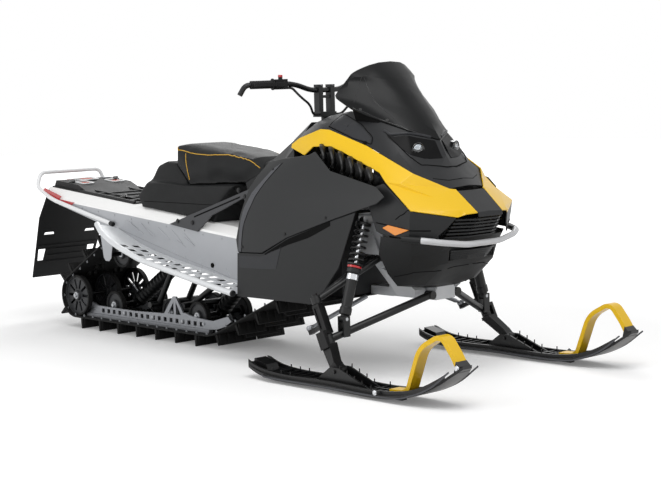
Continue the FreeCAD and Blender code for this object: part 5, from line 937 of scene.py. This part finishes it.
class SNOW_OT_bodywork(bpy.types.Operator):
    """Hood, stripes, side panels, cowls, nose and belly pan"""
    bl_idname = "snow.bodywork"
    bl_label = "Bodywork"

    def execute(self, context):
        for name, coat, bevel in (("hood", "hood", 3.0), ("hood_stripes", "yellow", 1.2),
                                  ("nose_panel", "hood", 3.0), ("side_panels", "panel", 2.5),
                                  ("lower_panels", "charcoal", 2.5), ("front_cowls", "charcoal", 2.5),
                                  ("belly_pan", "belly", 3.0), ("console", "black", 3.0),
                                  ("grilles", "charcoal", 1.0)):
            dressed(name, coat, bevel)
        return {"FINISHED"}


class SNOW_OT_vents(bpy.types.Operator):
    """Curved ribs of the side vents in front of their backing"""
    bl_idname = "snow.vents"
    bl_label = "Side vents"

    def execute(self, context):
        """Each rib: a rounded section along a hook out of the top, which bulges and turns in at the foot."""
        section = circle(1.0, 12) * [6 * MM, 13 * MM]
        ribs = []
        for x, z, height in LOUVRES:
            hook = [(x - 12, -270, z + height + 16), (x + 6, -288, z + height + 6),
                    (x + 24, -297, z + height * 0.6), (x + 28, -297, z + height * 0.25),
                    (x + 16, -293, z - 6), (x - 4, -280, z - 16)]
            ribs.append(swept(eased(hook, 22) * MM, section, ACROSS))
        back = slab_form(VENT_BACK, (0, 5, 0))
        piece("vent_ribs", both(*ribs, back), "rib", stands_for=("vent_louvres",))
        return {"FINISHED"}


class SNOW_OT_trim(bpy.types.Operator):
    """Gaps, covers, a painted highlight along the side panels' edges, a painted lit patch, painted shade in
    the panels' split, and creases laid on the body panels
    """
    bl_idname = "snow.trim"
    bl_label = "Body trim"

    def execute(self, context):
        lines = [seam(node, points, out, radius) for node, out, radius, points in BODY_LINES]
        piece("panel_gaps", both(*lines), "line")
        for name, node, coat, out, upper, lower in BODY_PLATES:
            form = both(plate(node, upper, lower, out))
            piece(name, form, coat, smooth=SHARP_PLATE)
        # Black band along the panels' split: painted shade
        split_shade = swept(runs(SPLIT_SHADE, 40) * MM, SPLIT_SHADE_SECTION * MM, LEVEL)
        piece("panel_split_painted_shade", both(split_shade), "line")
        brow = draped("hood", runs(BROW, 40), NOSE, 2.0)
        section = circle(1.0, 10) * [4 * MM, 6 * MM]
        piece("hood_brows", both(swept(brow, section, LEVEL)), "cover")
        piece("grille_screens", merged(*(box_form(*corners) for corners in SCREENS)), "line")
        latch = plate("hood", *LATCH, (0, -0.8, 0.6), 4.0, 1.0, 3, 3)
        piece("cover_latches", both(latch), "line", bevel=0.6)
        screws = [bolts([point], SIDE, 5, 2.5) for point in draped("side_panels", PANEL_SCREWS, SIDE) / MM]
        piece("panel_screws", both(*screws), "forged")
        return {"FINISHED"}


class SNOW_OT_lamps(bpy.types.Operator):
    """Headlights with housings, projectors and lenses, in their glossy visor, and the side reflectors"""
    bl_idname = "snow.lamps"
    bl_label = "Lamps"

    def execute(self, context):
        dressed("side_reflectors", "amber", 1.0)
        housing = turned(LAMP_HOUSING, LAMP_CENTRE, LAMP_AIM, 40)
        piece("headlight_housings", both(housing), "gloss", stands_for=("headlights",))
        projector = turned(PROJECTOR, LAMP_CENTRE, LAMP_AIM, 32)
        piece("headlight_projectors", both(projector), "chrome")
        piece("headlight_lenses", both(turned(LAMP_LENS, LAMP_CENTRE, LAMP_AIM, 40)), "lens")
        visor = plate("hood", VISOR_TOP, VISOR_FOOT, NOSE, 1.2, 1.0, 8, 24)
        piece("lamp_visors", both(visor), "visor", smooth=SHARP_PLATE)
        return {"FINISHED"}


class SNOW_OT_windshield(bpy.types.Operator):
    """Smoked windshield with dark lines of painted shade along its creases, and the rubber skirt below it"""
    bl_idname = "snow.windshield"
    bl_label = "Windshield"

    def execute(self, context):
        """Skirt: the blend of the shield's foot and its drop on the hood, with an inner wall beside it."""
        dressed("windshield", "shield", 1.5)
        foot = runs(SHIELD_FOOT, 24)
        low = draped("hood", foot - (0, 0, 14), UP, -2.0, reach=0.0)
        share = np.linspace(0, 1, 4)[:, None, None]
        outer = (foot + (-3, 3, 6)) * MM * (1 - share) + low * share
        inner = outer + np.array((-5, 4, 0)) * MM
        piece("windshield_skirt", both(shell_form(outer, inner)), "line")
        # Darker glossy lines along the creases: painted shade of the folds
        creases = [seam("windshield", points, (0.6, -0.7, 0.2), 0.9) for points in SHIELD_CREASES]
        piece("windshield_crease_shade_lines", both(*creases), "gloss")
        screws = [bolts([point], SHIELD_OUT, 5, 3) for point in
                  draped("windshield", SHIELD_SCREWS, SHIELD_OUT) / MM]
        piece("windshield_screws", both(*screws), "gloss")
        return {"FINISHED"}


class SNOW_OT_seat(bpy.types.Operator):
    """Seat cushion and its padded base, swollen by cloth simulation, with piping"""
    bl_idname = "snow.seat"
    bl_label = "Seat"

    def execute(self, context):
        swell = context.scene.snowmobile.seat_swell / MM
        for node, name, voxel, shrink, share in PADS:
            SKINS[name] = tree_of(padded_from(node, name, voxel, shrink, swell * share).data)
        top = draped("seat_pad", eased(PIPING_TOP, 60), (0, -1, 0.6), 0.4)
        rear = draped("seat_pad", eased(PIPING_REAR, 20), SIDE, 0.4)
        piping = [swept(top, circle(2.0 * MM, 8)), swept(rear, circle(1.7 * MM, 8))]
        piece("seat_piping", both(*piping), "piping")
        line = draped("seat_base_pad", runs(BASE_SEAM, 40), (0, -1, 0.2), 0.2)
        piece("seat_seams", both(swept(line, circle(1.3 * MM, 8))), "line")
        return {"FINISHED"}


def padded_from(node, name, voxel, shrink, cap):
    """A pad from a CAD solid: shrunk, remeshed, swollen by pressure, its moves capped, its floor kept.

    Each point moves by its cloth move cut to the cap, times a weight that falls to 0 where the pad faces
    down. The moves are then averaged with those of the points beside them, for a crown with no creases.
    """
    mesh = bpy.data.meshes.new(name)
    work = bmesh.new()
    work.from_mesh(frame["nodes"][node].data)
    bmesh.ops.remove_doubles(work, verts=work.verts, dist=WELD)
    work.to_mesh(mesh)
    work.free()
    pad = bpy.data.objects.new("raw_" + name, mesh)
    scene = bpy.context.scene
    scene.collection.objects.link(pad)
    fine = pad.modifiers.new("even skin", "REMESH")
    fine.mode = "VOXEL"
    fine.voxel_size = voxel * MM
    relax = pad.modifiers.new("relax", "SMOOTH")
    relax.factor = 0.5
    relax.iterations = 6
    rest = bpy.data.meshes.new_from_object(pad.evaluated_get(bpy.context.evaluated_depsgraph_get()))
    before, normals = values_of(rest, "co"), values_of(rest, "normal")
    weight = np.clip((normals[:, 2:] + 0.8) / 0.4, 0, 1)
    start = before - normals * shrink * MM * weight
    rest.vertices.foreach_set("co", start.ravel())
    pad.modifiers.clear()
    pad.data = rest
    after = start
    cloth = pad.modifiers.new("swell", "CLOTH")
    cloth.settings.use_pressure = True
    cloth.settings.uniform_pressure_force = PRESSURE
    cloth.settings.effector_weights.gravity = 0.0
    for step in range(SWELL_STEPS):
        scene.frame_set(step + 1)
    swollen = bpy.data.meshes.new_from_object(pad.evaluated_get(bpy.context.evaluated_depsgraph_get()))
    after = values_of(swollen, "co")
    pad.modifiers.clear()
    scene.frame_set(1)
    move = after - start
    length = np.linalg.norm(move, axis=1)[:, None]
    move *= np.minimum(1.0, cap * MM / np.maximum(length, 1e-9)) * weight
    pairs = np.empty(len(rest.edges) * 2, int)
    rest.edges.foreach_get("vertices", pairs)
    first, second = pairs.reshape(-1, 2).T
    beside = np.bincount(pairs, minlength=len(move))[:, None]
    for _ in range(AVERAGES):
        near = np.zeros_like(move)
        np.add.at(near, first, move[second])
        np.add.at(near, second, move[first])
        move = 0.5 * move + 0.5 * near / beside
    rest.vertices.foreach_set("co", (start + move).ravel())
    rest.update()
    bpy.data.objects.remove(pad)
    rest.materials.clear()
    made = finished(name, rest, "vinyl", BODY_OF[node], 0, SHARP_PAD, (node,), subdivide=1)
    return made


class SNOW_OT_front_suspension(bpy.types.Operator):
    """Arms, spindles, shocks with coil springs and tie rods"""
    bl_idname = "snow.front_suspension"
    bl_label = "Front suspension"

    def execute(self, context):
        """Shock: lathe shapes along the line from its top to its foot, with a coil round its upper half."""
        sizes = context.scene.snowmobile
        for name, coat, bevel in (("lower_arms", "black_tube", 0.6), ("upper_arms", "black_tube", 0.6),
                                  ("spindle_right", "forged", 1.5), ("tie_rod_right", "rail", 0.6),
                                  ("spindle_left", "forged", 1.5), ("tie_rod_left", "rail", 0.6)):
            dressed(name, coat, bevel)
        top, foot = np.array(SHOCK_TOP, float), np.array(SHOCK_FOOT, float)
        length = np.linalg.norm(foot - top)
        along = (foot - top) / length
        middle = length * 0.5
        eyes = (16, length - 16)
        barrel, *caps = (turned(profile, top, along) for profile in (
            [(middle - 6, 12), (middle - 5, 27), (middle + 12, 27), (middle + 13, 21), (length - 62, 21),
             (length - 60, 24), (length - 34, 24), (length - 30, 14), (length - 18, 12)],
            [(20, 16), (24, 31), (33, 31), (34, 24)],
            [(middle - 26, 24), (middle - 25, 31), (middle - 18, 31), (middle - 17, 24)]))
        bosses = [turned([(-11, 16), (11, 16)], top + along * place, (1, 0, 0)) for place in eyes]
        piece("shock_bodies", both(barrel, *bosses, *caps), "black_tube", bevel=0.6,
              stands_for=("front_shocks",))
        bright = [turned(profile, top, along) for profile in (
            [(24, 8), (middle, 8)],
            [(middle + 18, 20), (middle + 18, 23), (middle + 40, 23), (middle + 40, 20)])]
        piece("shock_shafts", both(*bright), "chrome", bevel=0.5)
        spring = coil(top + along * 36, top + along * (middle - 26), 26, sizes.spring_wire / MM,
                      sizes.spring_turns)
        piece("shock_springs", both(spring), "spring")
        collar = [(middle - 16, 20), (middle - 15, 28.5), (middle - 7, 28.5), (middle - 6, 20)]
        piece("shock_collars", both(turned(collar, top, along)), "red", bevel=0.5)
        pins = [bolts([top + along * place + (side * 12, 0, 0)], (side, 0, 0), 8, 6)
                for side in (-1, 1) for place in eyes]
        piece("shock_bolts", both(*pins), "steel", bevel=0.5)
        return {"FINISHED"}


class SNOW_OT_skis(bpy.types.Operator):
    """Skis with a painted highlight along their lower edges, bolts and hand loops"""
    bl_idname = "snow.skis"
    bl_label = "Skis"

    def execute(self, context):
        # Pale strips along both lower edges of each ski: a painted highlight
        edges = merged(*(swept(eased([(x, y, z + 5) for x, z in SKI_LINE], 60) * MM, EDGE_SECTION * MM, LEVEL)
                         for y in SKI_SIDES))
        pins = merged(*(rod(place, place + (0, 0, 13), 2.4, 8)
                        for place in draped("ski_right", SKI_PINS, UP) / MM))
        bracket = slab_form(LOOP_BRACKET, (0, 58, 0))
        heads = merged(bolts([(1224, -578, 30)], SIDE, 7.5, 4.5), bolts([(1584, -529, 152)], SIDE, 8, 5))
        for side in ("right", "left"):
            dressed("ski_" + side, "gloss_plastic", 2.0)
            dressed("ski_loop_" + side, "yellow", 3.0)
            for name, form, coat, bevel, slot in (("ski_painted_highlights_", edges, "edge", 0, "black_plastic"),
                                                  ("ski_pins_", pins, "gloss_plastic", 0, None),
                                                  ("ski_bracket_", bracket, "gloss_plastic", 2.0, None),
                                                  ("ski_bolts_", heads, "chrome", 0.5, None)):
                piece(name + side, form if side == "right" else other_side(form), coat, "ski_body_" + side,
                      bevel)
        return {"FINISHED"}


class SNOW_OT_steering(bpy.types.Operator):
    """Post, handlebar, grips, controls and hoses"""
    bl_idname = "snow.steering"
    bl_label = "Steering"

    def execute(self, context):
        """The stop button stands on the highest points of the right control block."""
        for name, coat, bevel in (("steering_post", "black_tube", 1.5), ("handlebar", "black_tube", 0),
                                  ("controls", "grip", 1.0), ("hoses", "grip", 0)):
            dressed(name, coat, bevel)
        spots = values_of(frame["nodes"]["controls"].data, "co") / MM
        spots = spots[spots[:, 1] < -150]
        post = spots[spots[:, 2] > spots[:, 2].max() - 3].mean(axis=0)
        piece("stop_button", turned(BUTTON, post, (0, 0.05, 1), 24), "red", "steering", 0.6)
        piece("clamp_bolts", bolts(CLAMP_BOLTS, UP, 5, 5), "steel", "steering")
        return {"FINISHED"}


class SNOW_PT_panel(bpy.types.Panel):
    """A button for each group of pieces, then the sizes and colours that may be changed"""
    bl_idname = "SNOW_PT_panel"
    bl_label = "Snowmobile"
    bl_space_type = "VIEW_3D"
    bl_region_type = "UI"
    bl_category = "Snowmobile"

    def draw(self, context):
        for entry in OPERATORS:
            self.layout.operator(entry.bl_idname)
        for name in SnowmobileSizes.__annotations__:
            self.layout.prop(context.scene.snowmobile, name)


OPERATORS = (SNOW_OT_stage, SNOW_OT_track, SNOW_OT_undercarriage, SNOW_OT_chassis, SNOW_OT_cargo,
             SNOW_OT_bodywork, SNOW_OT_vents, SNOW_OT_trim, SNOW_OT_lamps, SNOW_OT_windshield, SNOW_OT_seat,
             SNOW_OT_front_suspension, SNOW_OT_skis, SNOW_OT_steering)


def register():
    bpy.utils.register_class(SnowmobileSizes)
    for entry in OPERATORS + (SNOW_PT_panel,):
        bpy.utils.register_class(entry)
    bpy.types.Scene.snowmobile = bpy.props.PointerProperty(type=SnowmobileSizes)


def unregister():
    del bpy.types.Scene.snowmobile
    for entry in (SNOW_PT_panel,) + OPERATORS[::-1]:
        bpy.utils.unregister_class(entry)
    bpy.utils.unregister_class(SnowmobileSizes)


def main():
    register()
    FINISH.update(make_finishes(bpy.context.scene.snowmobile))
    for entry in OPERATORS:
        group, name = entry.bl_idname.split(".")
        if getattr(getattr(bpy.ops, group), name)() != {"FINISHED"}:
            raise RuntimeError(entry.bl_label + " did not finish")


if __name__ == "__main__":
    main()
